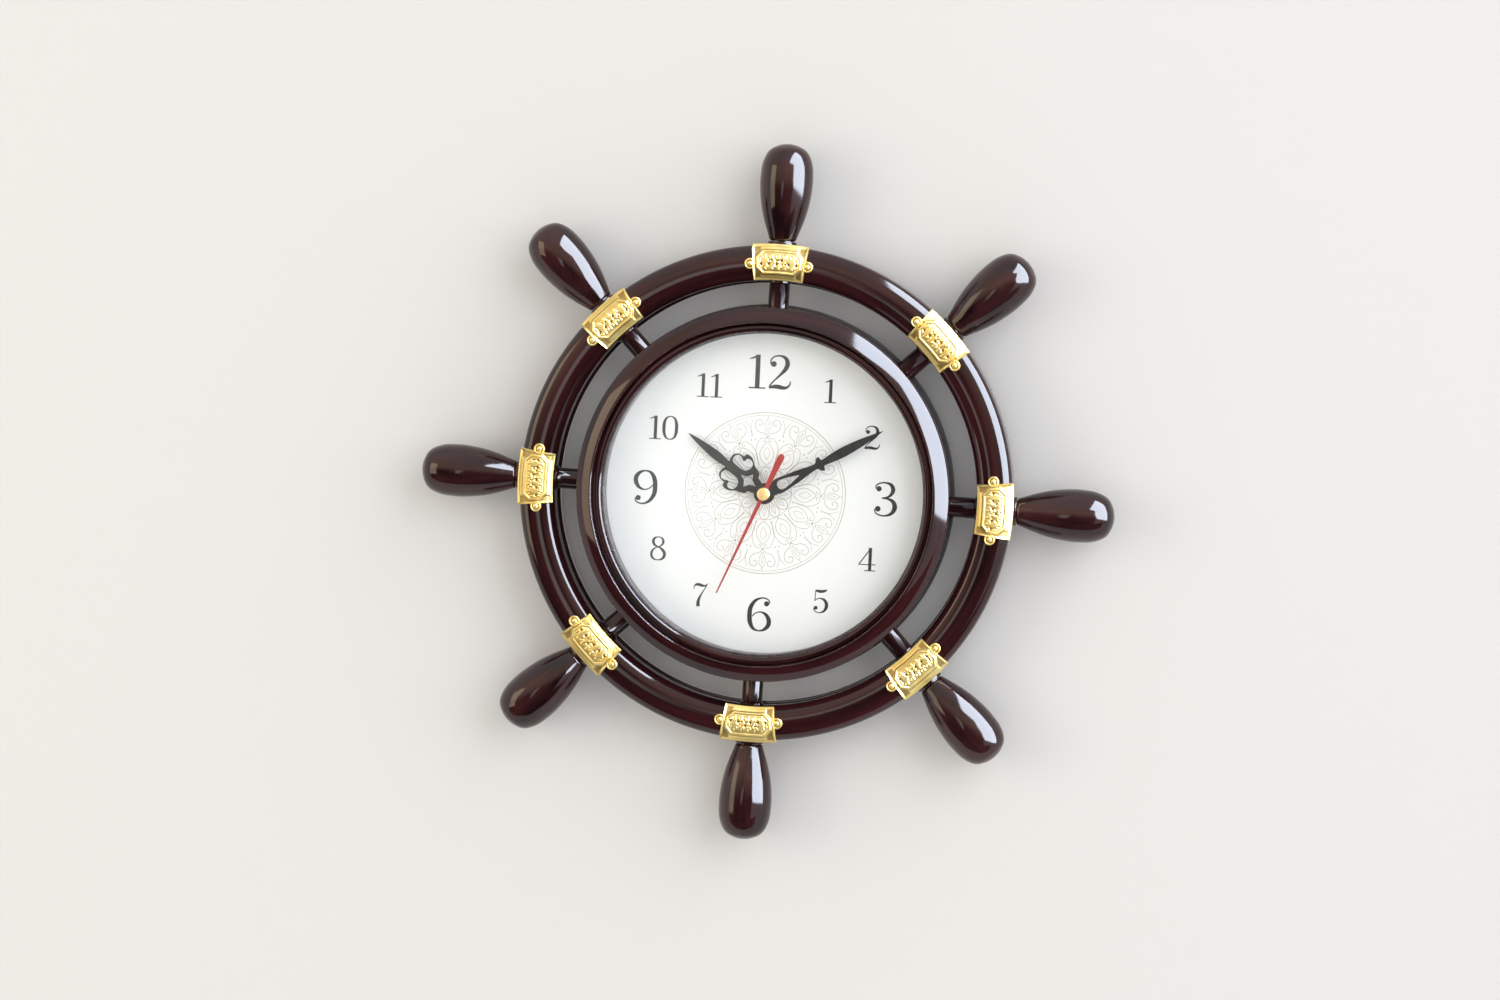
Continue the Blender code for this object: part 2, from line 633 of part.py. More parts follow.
def make_bezel(clock):
    foot = CASE_FLANGE_D + GAP
    shelf = lens_front() + GAP
    middle = (BEZEL_OUTER_R + BEZEL_CREASE_R) / 2
    half = (BEZEL_OUTER_R - BEZEL_CREASE_R) / 2
    outer_arc = arc_points((middle, BEZEL_SHOULDER_D), (half, BEZEL_FRONT_D - BEZEL_SHOULDER_D),
                           0, pi / 2, BEZEL_CROWN_STEPS // 2)
    inner_arc = arc_points((middle, BEZEL_CREASE_D), (half, BEZEL_FRONT_D - BEZEL_CREASE_D),
                           pi / 2, pi, BEZEL_CROWN_STEPS // 2)
    bead_middle = (BEZEL_CREASE_R + BEZEL_LIP_R) / 2
    bead_half = (BEZEL_CREASE_R - BEZEL_LIP_R) / 2
    bead = arc_points((bead_middle, BEZEL_CREASE_D), (bead_half, BEZEL_BEAD_RISE), 0, pi, BEZEL_BEAD_STEPS)
    inside_r = BEZEL_OUTER_R - BEZEL_WALL
    profile = [(BEZEL_OUTER_R, foot)] + outer_arc + inner_arc[1:] + bead[1:]
    profile += [(BEZEL_LIP_R, shelf), (inside_r, shelf), (inside_r, foot)]
    ring = turned(profile, RING_STEPS, ring_phase())
    bosses, bores = [], []
    for place in screw_places():
        boss_r = inside_r + GAP - SCREW_CIRCLE_R
        bosses.append(disc(boss_r, foot, DIAL_BACK_D - GAP, BOSS_STEPS, place))
        end = screw_seat() + SCREW_LENGTH + GAP
        bores.append(disc(SCREW_R + GAP, foot - OVERRUN, end, SCREW_STEPS, place))
    holes = tenon_holes(inside_r * facet_share() - OVERRUN, BEZEL_WALL + 2 * OVERRUN)
    solid("bezel", "lacquer", [ring] + bosses, bores + holes, clock)


def lens_front():
    """The glass lies on the spacer ring, which stands on the dial."""
    return BEZEL_SHOULDER_D


def lens_back():
    return lens_front() - LENS_THICKNESS


def screw_places():
    return circle(SCREW_CIRCLE_R, SCREWS, phase=SCREW_FIRST_ANGLE)


def screw_seat():
    """Front of a case screw's head, on the floor of its counterbore."""
    return CASE_FLANGE_D - COUNTERBORE_FLOOR - GAP


def make_rear_case(clock):
    rest = DIAL_BACK_D - GAP
    inner_r = CASE_WALL_R - CASE_WALL
    profile = [
        (0, 0), (CASE_BACK_R, 0), (CASE_WALL_R, CASE_CHAMFER), (CASE_WALL_R, CASE_FLANGE_BACK_D),
        (CASE_FLANGE_R, CASE_FLANGE_BACK_D), (CASE_FLANGE_R, CASE_FLANGE_D), (inner_r, CASE_FLANGE_D),
        (inner_r, CASE_CHAMFER), (CASE_BACK_R - CASE_WALL, CASE_WALL), (DIAL_REST_R, CASE_WALL),
        (DIAL_REST_R, rest), (DIAL_REST_R - DIAL_REST_WALL, rest),
        (DIAL_REST_R - DIAL_REST_WALL, CASE_WALL), (0, CASE_WALL),
    ]
    pan = turned(profile, RING_STEPS, ring_phase())
    bosses, cuts = [], []
    for place in screw_places():
        well_r = SCREW_HEAD_R + GAP
        bosses.append(disc(well_r + BOSS_WALL, CASE_WALL - GAP, CASE_FLANGE_D, BOSS_STEPS, place))
        cuts.append(disc(well_r, -OVERRUN, screw_seat() + GAP, SCREW_STEPS, place))
        cuts.append(disc(SCREW_R + GAP, screw_seat(), CASE_FLANGE_D + OVERRUN, SCREW_STEPS, place))
    half = MOVEMENT_SIZE / 2 + WINDOW_CLEARANCE
    cuts.append(block((-half, -half), (half, half), -OVERRUN, CASE_WALL + OVERRUN))
    slot = arc_points((0, HANG_DROP), (KEYHOLE_SLOT_R, KEYHOLE_SLOT_R), 0, pi, KEYHOLE_STEPS // 2)
    drop = HANG_DROP - KEYHOLE_DROP
    slot += [(-KEYHOLE_SLOT_R, drop), (KEYHOLE_SLOT_R, drop)]
    cuts.append(prism(slot, -OVERRUN, CASE_WALL + OVERRUN))
    cuts.append(disc(KEYHOLE_HEAD_R, -OVERRUN, CASE_WALL + OVERRUN, KEYHOLE_STEPS, (0, drop)))
    solid("rear_case", "black_plastic", [pan] + bosses, cuts, clock)


def make_case_screws(clock):
    head_front = screw_seat()
    head_back = head_front - SCREW_HEAD_THICKNESS
    profile = [
        (0, head_back), (SCREW_HEAD_R, head_back), (SCREW_HEAD_R, head_front), (SCREW_R, head_front),
        (SCREW_R, head_front + SCREW_LENGTH - SCREW_R), (0, head_front + SCREW_LENGTH),
    ]
    half = SCREW_SLOT_WIDTH / 2
    bottom = head_back + SCREW_SLOT_DEPTH
    reach = SCREW_HEAD_R - SCREW_SLOT_WIDTH
    slots = [
        block((-half, -reach), (half, reach), head_back - OVERRUN, bottom),
        block((-reach, -half), (reach, half), head_back - OVERRUN, bottom),
    ]
    first = None
    for k, (x, y) in enumerate(screw_places(), 1):
        if first is None:
            first = solid("case_screw_1", "steel", [turned(profile, SCREW_STEPS)], slots, clock, (x, y, 0))
        else:
            placed(f"case_screw_{k}", first.data, "steel", clock, (x, y, 0))


def make_dial_and_glass(clock):
    front = DIAL_BACK_D + DIAL_THICKNESS
    plate = turned([(0, DIAL_BACK_D), (DIAL_R, DIAL_BACK_D), (DIAL_R, front), (0, front)],
                   RING_STEPS, ring_phase())
    hole = disc(BUSH_R + GAP, DIAL_BACK_D - OVERRUN, front + OVERRUN, BUSH_STEPS)
    solid("dial", "dial_white", [plate], [hole], clock)
    low, high = front + GAP, lens_back() - GAP
    ring = [(SPACER_INNER_R, low), (SPACER_INNER_R, high), (SPACER_OUTER_R, high), (SPACER_OUTER_R, low)]
    mesh_object("spacer_ring", turned(ring, RING_STEPS, ring_phase()), "dark_inner", clock)
    glass = [(0, lens_back()), (LENS_R, lens_back()), (LENS_R, lens_front()), (0, lens_front())]
    mesh_object("lens", turned(glass, RING_STEPS, ring_phase()), "clear", clock)
    seat = front + GAP
    nut = prism(circle(NUT_R, 6), seat, seat + NUT_THICKNESS)
    bore = disc(BUSH_R + GAP, seat - OVERRUN, seat + NUT_THICKNESS + OVERRUN, BUSH_STEPS)
    solid("fixing_nut", "brass", [nut], [bore], clock)


def outline(length, tail, hub, tip):
    """A hand's outline, mirrored about its middle line, pointing along y. The hub's arc lies between tail and
    tip, whose points are shares of the length."""
    radius, start, end = hub
    arc = arc_points((0, 0), (radius, radius), start, end, HUB_STEPS)
    right = [(across * length, along * length) for along, across in tail] + arc
    right += [(across * length, along * length) for along, across in tip]
    return right + [(-x, y) for x, y in reversed(right)]


def hole_outline(shares, length, side=1):
    points = [(side * across * length, along * length) for along, across in shares]
    return points if side == 1 else points[::-1]


def make_hands(clock):
    def layer(depth):
        return depth, depth + HAND_THICKNESS

    def through(depth):
        return depth - OVERRUN, depth + HAND_THICKNESS + OVERRUN

    hub = (HAND_HUB_R, HUB_START, HUB_END)
    hour = prism(outline(HOUR_LENGTH, (), hub, HOUR_OUTLINE_SHARES), *layer(HOUR_HAND_D))
    cuts = [disc(HOUR_TUBE_R + GAP, *through(HOUR_HAND_D), ROUND_STEPS)]
    cuts.append(prism(hole_outline(HOUR_STAR_SHARES, HOUR_LENGTH), *through(HOUR_HAND_D)))
    for side in (1, -1):
        cuts.append(prism(hole_outline(HOUR_SCROLL_SHARES, HOUR_LENGTH, side), *through(HOUR_HAND_D)))
    solid("hour_hand", "hand_black", [hour], cuts, clock, turn=(0, 0, -HOUR_ANGLE))

    minute = prism(outline(MINUTE_LENGTH, (), hub, MINUTE_OUTLINE_SHARES), *layer(MINUTE_HAND_D))
    cuts = [disc(MINUTE_TUBE_R + GAP, *through(MINUTE_HAND_D), ROUND_STEPS)]
    cuts.append(prism(hole_outline(MINUTE_DROP_SHARES, MINUTE_LENGTH), *through(MINUTE_HAND_D)))
    solid("minute_hand", "hand_black", [minute], cuts, clock, turn=(0, 0, -MINUTE_ANGLE))

    hub = (SECOND_HUB_R, -SECOND_HUB_ARC, SECOND_HUB_ARC)
    needle = prism(outline(SECOND_LENGTH, SECOND_TAIL_SHARES, hub, SECOND_TIP_SHARES), *layer(SECOND_HAND_D))
    bore = disc(SECOND_ARBOR_R + GAP, *through(SECOND_HAND_D), TENON_STEPS)
    solid("second_hand", "hand_red", [needle], [bore], clock, turn=(0, 0, -SECOND_ANGLE))

    seat = SECOND_HAND_D + HAND_THICKNESS + GAP
    dome = [(CAP_R * share, seat + CAP_SKIRT + CAP_DOME * (1 - share * share)) for share in CAP_DOME_SHARES]
    cap = [(0, seat), (CAP_R, seat)] + dome
    well = disc(SECOND_ARBOR_R + GAP, seat - OVERRUN, seat + CAP_SKIRT, TENON_STEPS)
    solid("second_hand_cap", "brass", [turned(cap, ROUND_STEPS)], [well], clock, turn=(0, 0, -SECOND_ANGLE))


def gear_outline(teeth, module, phase, tip_width):
    """Straight-flanked teeth with wide backlash, one of them centred on the phase."""
    radius = module * teeth / 2
    tip, root = radius + module * TOOTH_TIP_SHARE, radius - module * TOOTH_ROOT_SHARE
    pitch = 2 * pi / teeth
    tops = ((tip, -tip_width), (tip, tip_width)) if tip_width else ((tip, 0),)
    points = []
    for k in range(teeth):
        middle = phase + pitch * k
        for r, width in ((root, -TOOTH_FOOT_WIDTH_SHARE), *tops, (root, TOOTH_FOOT_WIDTH_SHARE)):
            angle = middle + width * pitch / 2
            points.append((r * cos(angle), r * sin(angle)))
    return points


def toward(direction, distance, start=(0, 0)):
    return (start[0] + distance * cos(direction), start[1] + distance * sin(direction))


def mesh_distance(first, second, module):
    return module * (first + second) / 2


def arbor_places():
    """The arbors' places from the tooth counts and modules."""
    step = toward(STEP_DIRECTION, mesh_distance(PINION_TEETH, SECOND_TEETH, TRAIN_MODULE))
    rotor = toward(ROTOR_DIRECTION, mesh_distance(PINION_TEETH, STEP_TEETH, TRAIN_MODULE), step)
    third = toward(THIRD_DIRECTION, mesh_distance(PINION_TEETH, THIRD_TEETH, TRAIN_MODULE))
    stem = toward(STEM_DIRECTION, MOTION_DISTANCE)
    return {"step": step, "rotor": rotor, "third": third, "stem": stem, "centre": (0, 0)}


def fitted_module(distance, first, second):
    """The module that two tooth counts need at a distance set by other wheels."""
    return 2 * distance / (first + second)


def centre_module():
    """The third wheel's pinion runs the centre wheel at the third arbor's own distance."""
    distance = mesh_distance(PINION_TEETH, THIRD_TEETH, TRAIN_MODULE)
    return fitted_module(distance, PINION_TEETH, CENTRE_TEETH)


def gap_phase(direction, teeth):
    """Phase of a wheel with a gap towards the direction, where its neighbour has a tooth."""
    return direction + pi / teeth


def wheel(teeth, module, phase, depth):
    return prism(gear_outline(teeth, module, phase, 0), depth, depth + WHEEL_THICKNESS)


def pinion(teeth, module, phase, depth):
    low, high = depth - PINION_EXTRA, depth + WHEEL_THICKNESS + PINION_EXTRA
    return prism(gear_outline(teeth, module, phase, TOOTH_TIP_WIDTH_SHARE), low, high)


def make_train(clock):
    """Rotor, step wheel, second wheel, third wheel and centre wheel, in mesh at rest."""
    places = arbor_places()
    floor = MOVEMENT_BACK_D + MOVEMENT_WALL + GAP
    plate_top = MIDDLE_PLATE_D + MIDDLE_PLATE_THICKNESS
    lid = MOVEMENT_FRONT_D - MOVEMENT_LID - GAP

    rotor_parts = [
        disc(ARBOR_R, floor, plate_top, TENON_STEPS),
        pinion(PINION_TEETH, TRAIN_MODULE, ROTOR_DIRECTION + pi, STEP_WHEEL_D),
        disc(MOVEMENT_SIZE * ROTOR_R_SHARE, ROTOR_BACK_D, ROTOR_BACK_D + ROTOR_THICKNESS),
    ]
    solid("rotor", "steel", rotor_parts, (), clock, (*places["rotor"], 0))

    step_parts = [
        disc(ARBOR_R, floor, plate_top, TENON_STEPS),
        wheel(STEP_TEETH, TRAIN_MODULE, gap_phase(ROTOR_DIRECTION, STEP_TEETH), STEP_WHEEL_D),
        pinion(PINION_TEETH, TRAIN_MODULE, STEP_DIRECTION + pi, SECOND_WHEEL_D),
    ]
    solid("step_wheel", "white_plastic", step_parts, (), clock, (*places["step"], 0))

    second_parts = [
        disc(SECOND_ARBOR_R, floor, SECOND_HAND_D + HAND_THICKNESS + CAP_SKIRT, TENON_STEPS),
        wheel(SECOND_TEETH, TRAIN_MODULE, gap_phase(STEP_DIRECTION, SECOND_TEETH), SECOND_WHEEL_D),
        pinion(PINION_TEETH, TRAIN_MODULE, THIRD_DIRECTION, THIRD_WHEEL_D),
    ]
    solid("second_wheel", "white_plastic", second_parts, (), clock)

    third_parts = [
        disc(ARBOR_R, floor, lid, TENON_STEPS),
        wheel(THIRD_TEETH, TRAIN_MODULE, gap_phase(THIRD_DIRECTION + pi, THIRD_TEETH), THIRD_WHEEL_D),
        pinion(PINION_TEETH, centre_module(), THIRD_DIRECTION + pi, CENTRE_WHEEL_D),
    ]
    solid("third_wheel", "white_plastic", third_parts, (), clock, (*places["third"], 0))

    centre = wheel(CENTRE_TEETH, centre_module(), gap_phase(THIRD_DIRECTION, CENTRE_TEETH), CENTRE_WHEEL_D)
    bore = disc(MINUTE_TUBE_R + GAP, 0, lid, ROUND_STEPS)
    solid("centre_wheel", "brass", [centre], [bore], clock)


def make_motion_work(clock):
    """Minute tube, minute wheel with its stem, hour wheel and the setting knob."""
    places = arbor_places()
    minute_module = fitted_module(MOTION_DISTANCE, CANNON_TEETH, MINUTE_TEETH)
    hour_module = fitted_module(MOTION_DISTANCE, MINUTE_PINION_TEETH, HOUR_TEETH)
    tube = [
        disc(MINUTE_TUBE_R, CENTRE_WHEEL_D, MINUTE_HAND_D + HAND_THICKNESS + TUBE_STAND, ROUND_STEPS),
        pinion(CANNON_TEETH, minute_module, STEM_DIRECTION, MINUTE_WHEEL_D),
    ]
    bore = disc(MINUTE_TUBE_BORE_R, 0, SECOND_HAND_D, TENON_STEPS)
    solid("minute_tube", "brass", tube, [bore], clock)

    stem_front = MOVEMENT_FRONT_D - MOVEMENT_LID - GAP
    minute = [
        disc(STEM_R, MOVEMENT_BACK_D + KNOB_THICKNESS / 2, stem_front, TENON_STEPS),
        wheel(MINUTE_TEETH, minute_module, gap_phase(STEM_DIRECTION + pi, MINUTE_TEETH), MINUTE_WHEEL_D),
        pinion(MINUTE_PINION_TEETH, hour_module, STEM_DIRECTION + pi, HOUR_WHEEL_D),
    ]
    solid("minute_wheel", "white_plastic", minute, (), clock, (*places["stem"], 0))

    hour = [
        wheel(HOUR_TEETH, hour_module, gap_phase(STEM_DIRECTION, HOUR_TEETH), HOUR_WHEEL_D),
        disc(HOUR_TUBE_R, HOUR_WHEEL_D, HOUR_HAND_D + HAND_THICKNESS + TUBE_STAND, ROUND_STEPS),
    ]
    bore = disc(HOUR_TUBE_BORE_R, 0, SECOND_HAND_D, ROUND_STEPS)
    solid("hour_wheel", "white_plastic", hour, [bore], clock)

    ribs = []
    for k in range(KNOB_RIBS):
        for share, turn in KNOB_RIB_SHARES:
            ribs.append(toward(2 * pi * (k + turn) / KNOB_RIBS, KNOB_R * share))
    top = MOVEMENT_BACK_D + KNOB_THICKNESS
    well = disc(STEM_R + GAP, MOVEMENT_BACK_D + KNOB_THICKNESS / 2 - GAP, top + OVERRUN, TENON_STEPS)
    solid("setting_knob", "black_plastic", [prism(ribs, MOVEMENT_BACK_D, top)], [well],
          clock, (*places["stem"], 0))


def in_movement(shares):
    """A place or size in the movement, x and y, from shares of its case's size."""
    return (MOVEMENT_SIZE * shares[0], MOVEMENT_SIZE * shares[1])


def make_movement_cases(clock):
    places = arbor_places()
    half = MOVEMENT_SIZE / 2
    inside = half - MOVEMENT_WALL
    floor = MOVEMENT_BACK_D + MOVEMENT_WALL
    front = MOVEMENT_FRONT_D - MOVEMENT_LID - GAP
    shell = block((-half, -half), (half, half), MOVEMENT_BACK_D, front)
    room = block((-inside, BAY_TOP + MOVEMENT_WALL), (inside, inside), floor, front + OVERRUN)
    bay = block((-inside, -inside), (inside, BAY_TOP), MOVEMENT_BACK_D - OVERRUN, front + OVERRUN)
    case = solid("movement_back", "black_plastic", [shell], [room, bay])
    posts = []
    for top, places_here in ((MIDDLE_PLATE_D, POST_PLACE_SHARES), (BOARD_D, BOARD_POST_PLACE_SHARES)):
        for shares in places_here:
            posts.append(disc(POST_R, floor - GAP, top - GAP, TENON_STEPS, in_movement(shares)))
    well_floor = MOVEMENT_BACK_D + KNOB_WELL_DEPTH
    ring_r = KNOB_WELL_R + KNOB_WELL_WALL
    posts.append(disc(ring_r, floor - GAP, well_floor + KNOB_WELL_WALL, centre=places["stem"]))
    combined(case, posts, "UNION")
    cuts = [
        disc(KNOB_WELL_R, MOVEMENT_BACK_D - OVERRUN, well_floor, centre=places["stem"]),
        disc(STEM_R + GAP, MOVEMENT_BACK_D, MIDDLE_PLATE_D, TENON_STEPS, places["stem"]),
    ]
    combined(case, cuts, "DIFFERENCE")
    mesh = case.data
    bpy.data.objects.remove(case)
    placed("movement_back", mesh, "black_plastic", clock)

    lid_back = MOVEMENT_FRONT_D - MOVEMENT_LID
    lid = block((-half, -half), (half, half), lid_back, MOVEMENT_FRONT_D)
    bush_front = DIAL_BACK_D + DIAL_THICKNESS + GAP + NUT_THICKNESS
    bush = disc(BUSH_R, lid_back, bush_front, BUSH_STEPS)
    bore = disc(HOUR_TUBE_R + GAP, lid_back - OVERRUN, bush_front + OVERRUN, BUSH_STEPS)
    solid("movement_front", "black_plastic", [lid, bush], [bore], clock)

    high = MIDDLE_PLATE_D + MIDDLE_PLATE_THICKNESS
    sheet = block(in_movement(PLATE_LOW_SHARES), in_movement(PLATE_HIGH_SHARES), MIDDLE_PLATE_D, high)
    bores = []
    for name, radius in (("rotor", ARBOR_R), ("step", ARBOR_R), ("third", ARBOR_R), ("stem", STEM_R),
                         ("centre", SECOND_ARBOR_R)):
        bores.append(disc(radius + GAP, MIDDLE_PLATE_D - OVERRUN, high + OVERRUN, TENON_STEPS, places[name]))
    solid("middle_plate", "white_plastic", [sheet], bores, clock)


def make_motor(clock):
    x, y = arbor_places()["rotor"]
    high = STATOR_D + STATOR_THICKNESS
    bottom, top = in_movement((STATOR_LOW_SHARE, STATOR_HIGH_SHARE))
    coil_x, coil_r = in_movement((COIL_X_SHARE, COIL_R_SHARE))
    left = coil_x - coil_r
    arm, half = in_movement((STATOR_ARM_SHARE, STATOR_SPINE_SHARE / 2))
    pole, bore_r = in_movement((STATOR_POLE_SHARE / 2, STATOR_BORE_R_SHARE))
    parts = [
        block((x - half, bottom), (x + half, top), STATOR_D, high),
        block((x - pole, y - pole), (x + pole, y + pole), STATOR_D, high),
        block((left, bottom), (x + half - GAP, bottom + arm), STATOR_D, high),
        block((left, top - arm), (x + half - GAP, top), STATOR_D, high),
    ]
    bore = disc(bore_r, STATOR_D - OVERRUN, high + OVERRUN, centre=(x, y))
    solid("stator", "steel", parts, [bore], clock)

    low = bottom + arm + GAP
    length = top - arm - GAP - low
    flange_r = MOVEMENT_SIZE * COIL_FLANGE_R_SHARE
    profile = [
        (0, 0), (flange_r, 0), (flange_r, COIL_FLANGE), (coil_r, COIL_FLANGE),
        (coil_r, length - COIL_FLANGE), (flange_r, length - COIL_FLANGE), (flange_r, length), (0, length),
    ]
    mesh_object("coil", turned(profile, ROUND_STEPS), "copper", clock,
                (coil_x, low, STATOR_D + STATOR_THICKNESS / 2), (-pi / 2, 0, 0))

    corner, size = in_movement(BOARD_CORNER_SHARES), in_movement(BOARD_SIZE_SHARES)
    board = block(corner, (corner[0] + size[0], corner[1] + size[1]), BOARD_D, BOARD_D + BOARD_THICKNESS)
    chip_x, chip_y = corner[0] + size[0] / 2, corner[1] + size[1] / 2
    side = MOVEMENT_SIZE * CHIP_SIZE_SHARE / 2
    chip = block((chip_x - side, chip_y - side), (chip_x + side, chip_y + side),
                 BOARD_D, BOARD_D + BOARD_THICKNESS + CHIP_RISE)
    solid("circuit_board", "board_green", [board, chip], (), clock)


def make_battery(clock):
    """The battery and its contacts lie across the bay, just behind the front case."""
    middle_y = BAY_TOP - BATTERY_CLEARANCE - BATTERY_R
    middle_d = MOVEMENT_FRONT_D - MOVEMENT_LID - 2 * BATTERY_CLEARANCE - BATTERY_R
    body = BATTERY_LENGTH - BATTERY_NUB
    nub_r = BATTERY_R * BATTERY_NUB_R_SHARE
    profile = [
        (0, 0), (BATTERY_R, 0), (BATTERY_R, body), (nub_r, body), (nub_r, BATTERY_LENGTH),
        (0, BATTERY_LENGTH),
    ]
    start = -BATTERY_LENGTH / 2
    mesh_object("battery", turned(profile, BATTERY_STEPS), "battery_wrap", clock,
                (start, middle_y, middle_d), (0, pi / 2, 0))
    for name, side in (("contact_plus", 1), ("contact_minus", -1)):
        near = side * (BATTERY_LENGTH / 2 + GAP)
        far = near + side * CONTACT_THICKNESS
        low_x, high_x = sorted((near, far))
        half = BATTERY_R * CONTACT_WIDTH_SHARE / 2
        plate = block((low_x, middle_y - half), (high_x, middle_y + half), middle_d - half, middle_d + half)
        front = MOVEMENT_FRONT_D - MOVEMENT_LID - GAP
        stem = block((low_x, middle_y - half / 2), (high_x, middle_y + half / 2), middle_d, front)
        solid(name, "steel", [plate, stem], (), clock)


def main():
    clear_scene()
    clock = empty("dial_axis", place=(0, 0, -HANG_DROP), turn=(pi / 2, 0, 0))
    frames = [empty(f"spoke_line_{k}", clock, turn=(0, 0, a)) for k, a in enumerate(spoke_angles(), 1)]
    make_rim(clock)
    make_handles(frames)
    make_spokes(frames)
    make_plates(frames)
    make_bezel(clock)
    make_rear_case(clock)
    make_case_screws(clock)
    make_dial_and_glass(clock)
    make_hands(clock)
    make_train(clock)
    make_motion_work(clock)
    make_movement_cases(clock)
    make_motor(clock)
    make_battery(clock)


main()
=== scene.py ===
"""Ship wheel wall clock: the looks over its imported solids, laid out as an add-on with one button a piece.

Metres, +Z up. The dial faces -Y and the wall is the plane y = 0. Pieces are drawn in the dial's own terms:
x to the right, y up, d out of the wall, all from the dial's axis.
"""

import json
from math import cos, pi, radians, sin

import bmesh
import bpy
import numpy as np
from bpy.props import FloatProperty, FloatVectorProperty, PointerProperty
from mathutils import Matrix, Vector

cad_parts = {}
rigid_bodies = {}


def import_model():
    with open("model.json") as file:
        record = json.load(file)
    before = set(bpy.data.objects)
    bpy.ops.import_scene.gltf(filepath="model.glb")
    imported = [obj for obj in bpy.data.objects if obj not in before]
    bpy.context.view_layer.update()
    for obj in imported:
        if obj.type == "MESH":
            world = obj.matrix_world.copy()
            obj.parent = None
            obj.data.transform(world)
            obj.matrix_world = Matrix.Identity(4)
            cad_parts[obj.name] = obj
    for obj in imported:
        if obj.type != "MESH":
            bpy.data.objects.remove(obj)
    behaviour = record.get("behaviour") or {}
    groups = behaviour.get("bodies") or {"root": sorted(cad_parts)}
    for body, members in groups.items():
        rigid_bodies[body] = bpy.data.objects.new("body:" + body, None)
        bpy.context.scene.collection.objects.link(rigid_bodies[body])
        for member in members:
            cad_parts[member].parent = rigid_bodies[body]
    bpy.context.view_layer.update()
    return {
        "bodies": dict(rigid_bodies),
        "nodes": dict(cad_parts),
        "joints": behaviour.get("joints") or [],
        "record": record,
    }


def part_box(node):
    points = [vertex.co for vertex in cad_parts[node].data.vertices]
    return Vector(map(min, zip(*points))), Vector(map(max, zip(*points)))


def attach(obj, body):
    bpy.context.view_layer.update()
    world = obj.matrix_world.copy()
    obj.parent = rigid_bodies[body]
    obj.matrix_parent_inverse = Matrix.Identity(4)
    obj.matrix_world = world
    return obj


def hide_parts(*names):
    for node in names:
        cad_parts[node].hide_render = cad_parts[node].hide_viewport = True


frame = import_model()

bl_info = {
    "name": "Ship wheel clock",
    "version": (1, 0, 0),
    "blender": (4, 5, 0),
    "location": "View3D > Sidebar > Wheel Clock",
    "description": "Builds the visible pieces of a ship wheel wall clock over its solids",
    "category": "Object",
}

NODES = frame["nodes"]
LENS_LOW, LENS_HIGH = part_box("lens")
AXIS_Z = (LENS_LOW.z + LENS_HIGH.z) / 2
COPIES = 8
FINE = 256  # steps round the large rings
MM = 0.001
GAP = 0.0003  # left between pieces that only touch


# Meshes

def world(x, y, d):
    return (x, -d, y + AXIS_Z)


def on_circle(radius, steps):
    """Points of a circle, anticlockwise from the right."""
    return [(radius * cos(2 * pi * k / steps), radius * sin(2 * pi * k / steps)) for k in range(steps)]


def show(name, data):
    obj = bpy.data.objects.new(name, data)
    bpy.context.scene.collection.objects.link(obj)
    return obj


def mesh_piece(name, points, faces, finish, sharp=35.0):
    """A piece with its place in its mesh, merged, faces out, smooth but for its sharp edges."""
    mesh = bpy.data.meshes.new(name)
    mesh.from_pydata([tuple(p) for p in points], [], [tuple(f) for f in faces])
    tidy_mesh(mesh)
    smooth(mesh, sharp)
    mesh.materials.append(finish)
    return show(name, mesh)


def tidy_mesh(mesh, merge=1e-7):
    bm = bmesh.new()
    bm.from_mesh(mesh)
    bmesh.ops.remove_doubles(bm, verts=bm.verts, dist=merge)
    bmesh.ops.recalc_face_normals(bm, faces=bm.faces)
    bm.to_mesh(mesh)
    bm.free()


def smooth(mesh, sharp):
    mesh.shade_smooth()
    mesh.set_sharp_from_angle(angle=radians(sharp))


def grid_faces(rows, columns, wrap_rows=False, wrap_columns=False):
    return [(i * columns + j, i * columns + (j + 1) % columns,
             (i + 1) % rows * columns + (j + 1) % columns, (i + 1) % rows * columns + j)
            for i in range(rows if wrap_rows else rows - 1)
            for j in range(columns if wrap_columns else columns - 1)]


def ring_piece(name, profile, finish, sharp=35.0):
    """A closed profile of radii and depths, turned about the dial's axis."""
    points = []
    for k in range(FINE):
        angle = 2 * pi * k / FINE
        points += [world(r * sin(angle), r * cos(angle), d) for r, d in profile]
    return mesh_piece(name, points, grid_faces(FINE, len(profile), True, True), finish, sharp)


def disc_piece(name, profile, finish, steps=FINE, sharp=35.0):
    """A profile that starts and ends at radius 0, turned about the dial's axis."""
    points, faces = turned_solid(profile, steps)
    return mesh_piece(name, [world(*p) for p in points], faces, finish, sharp)


def turned_solid(profile, steps):
    """Points (x, y, d) and faces of a profile that starts and ends on its axis."""
    points, rings = [], []
    for r, d in profile:
        first = len(points)
        points += [(x, y, d) for x, y in (on_circle(r, steps) if r else [(0.0, 0.0)])]
        rings.append(list(range(first, first + steps)) if r else [first] * steps)
    faces = []
    for a, b in zip(rings, rings[1:]):
        for k in range(steps):
            n = (k + 1) % steps
            corners = list(dict.fromkeys((a[k], a[n], b[n], b[k])))
            if len(corners) > 2:
                faces.append(corners)
    return points, faces


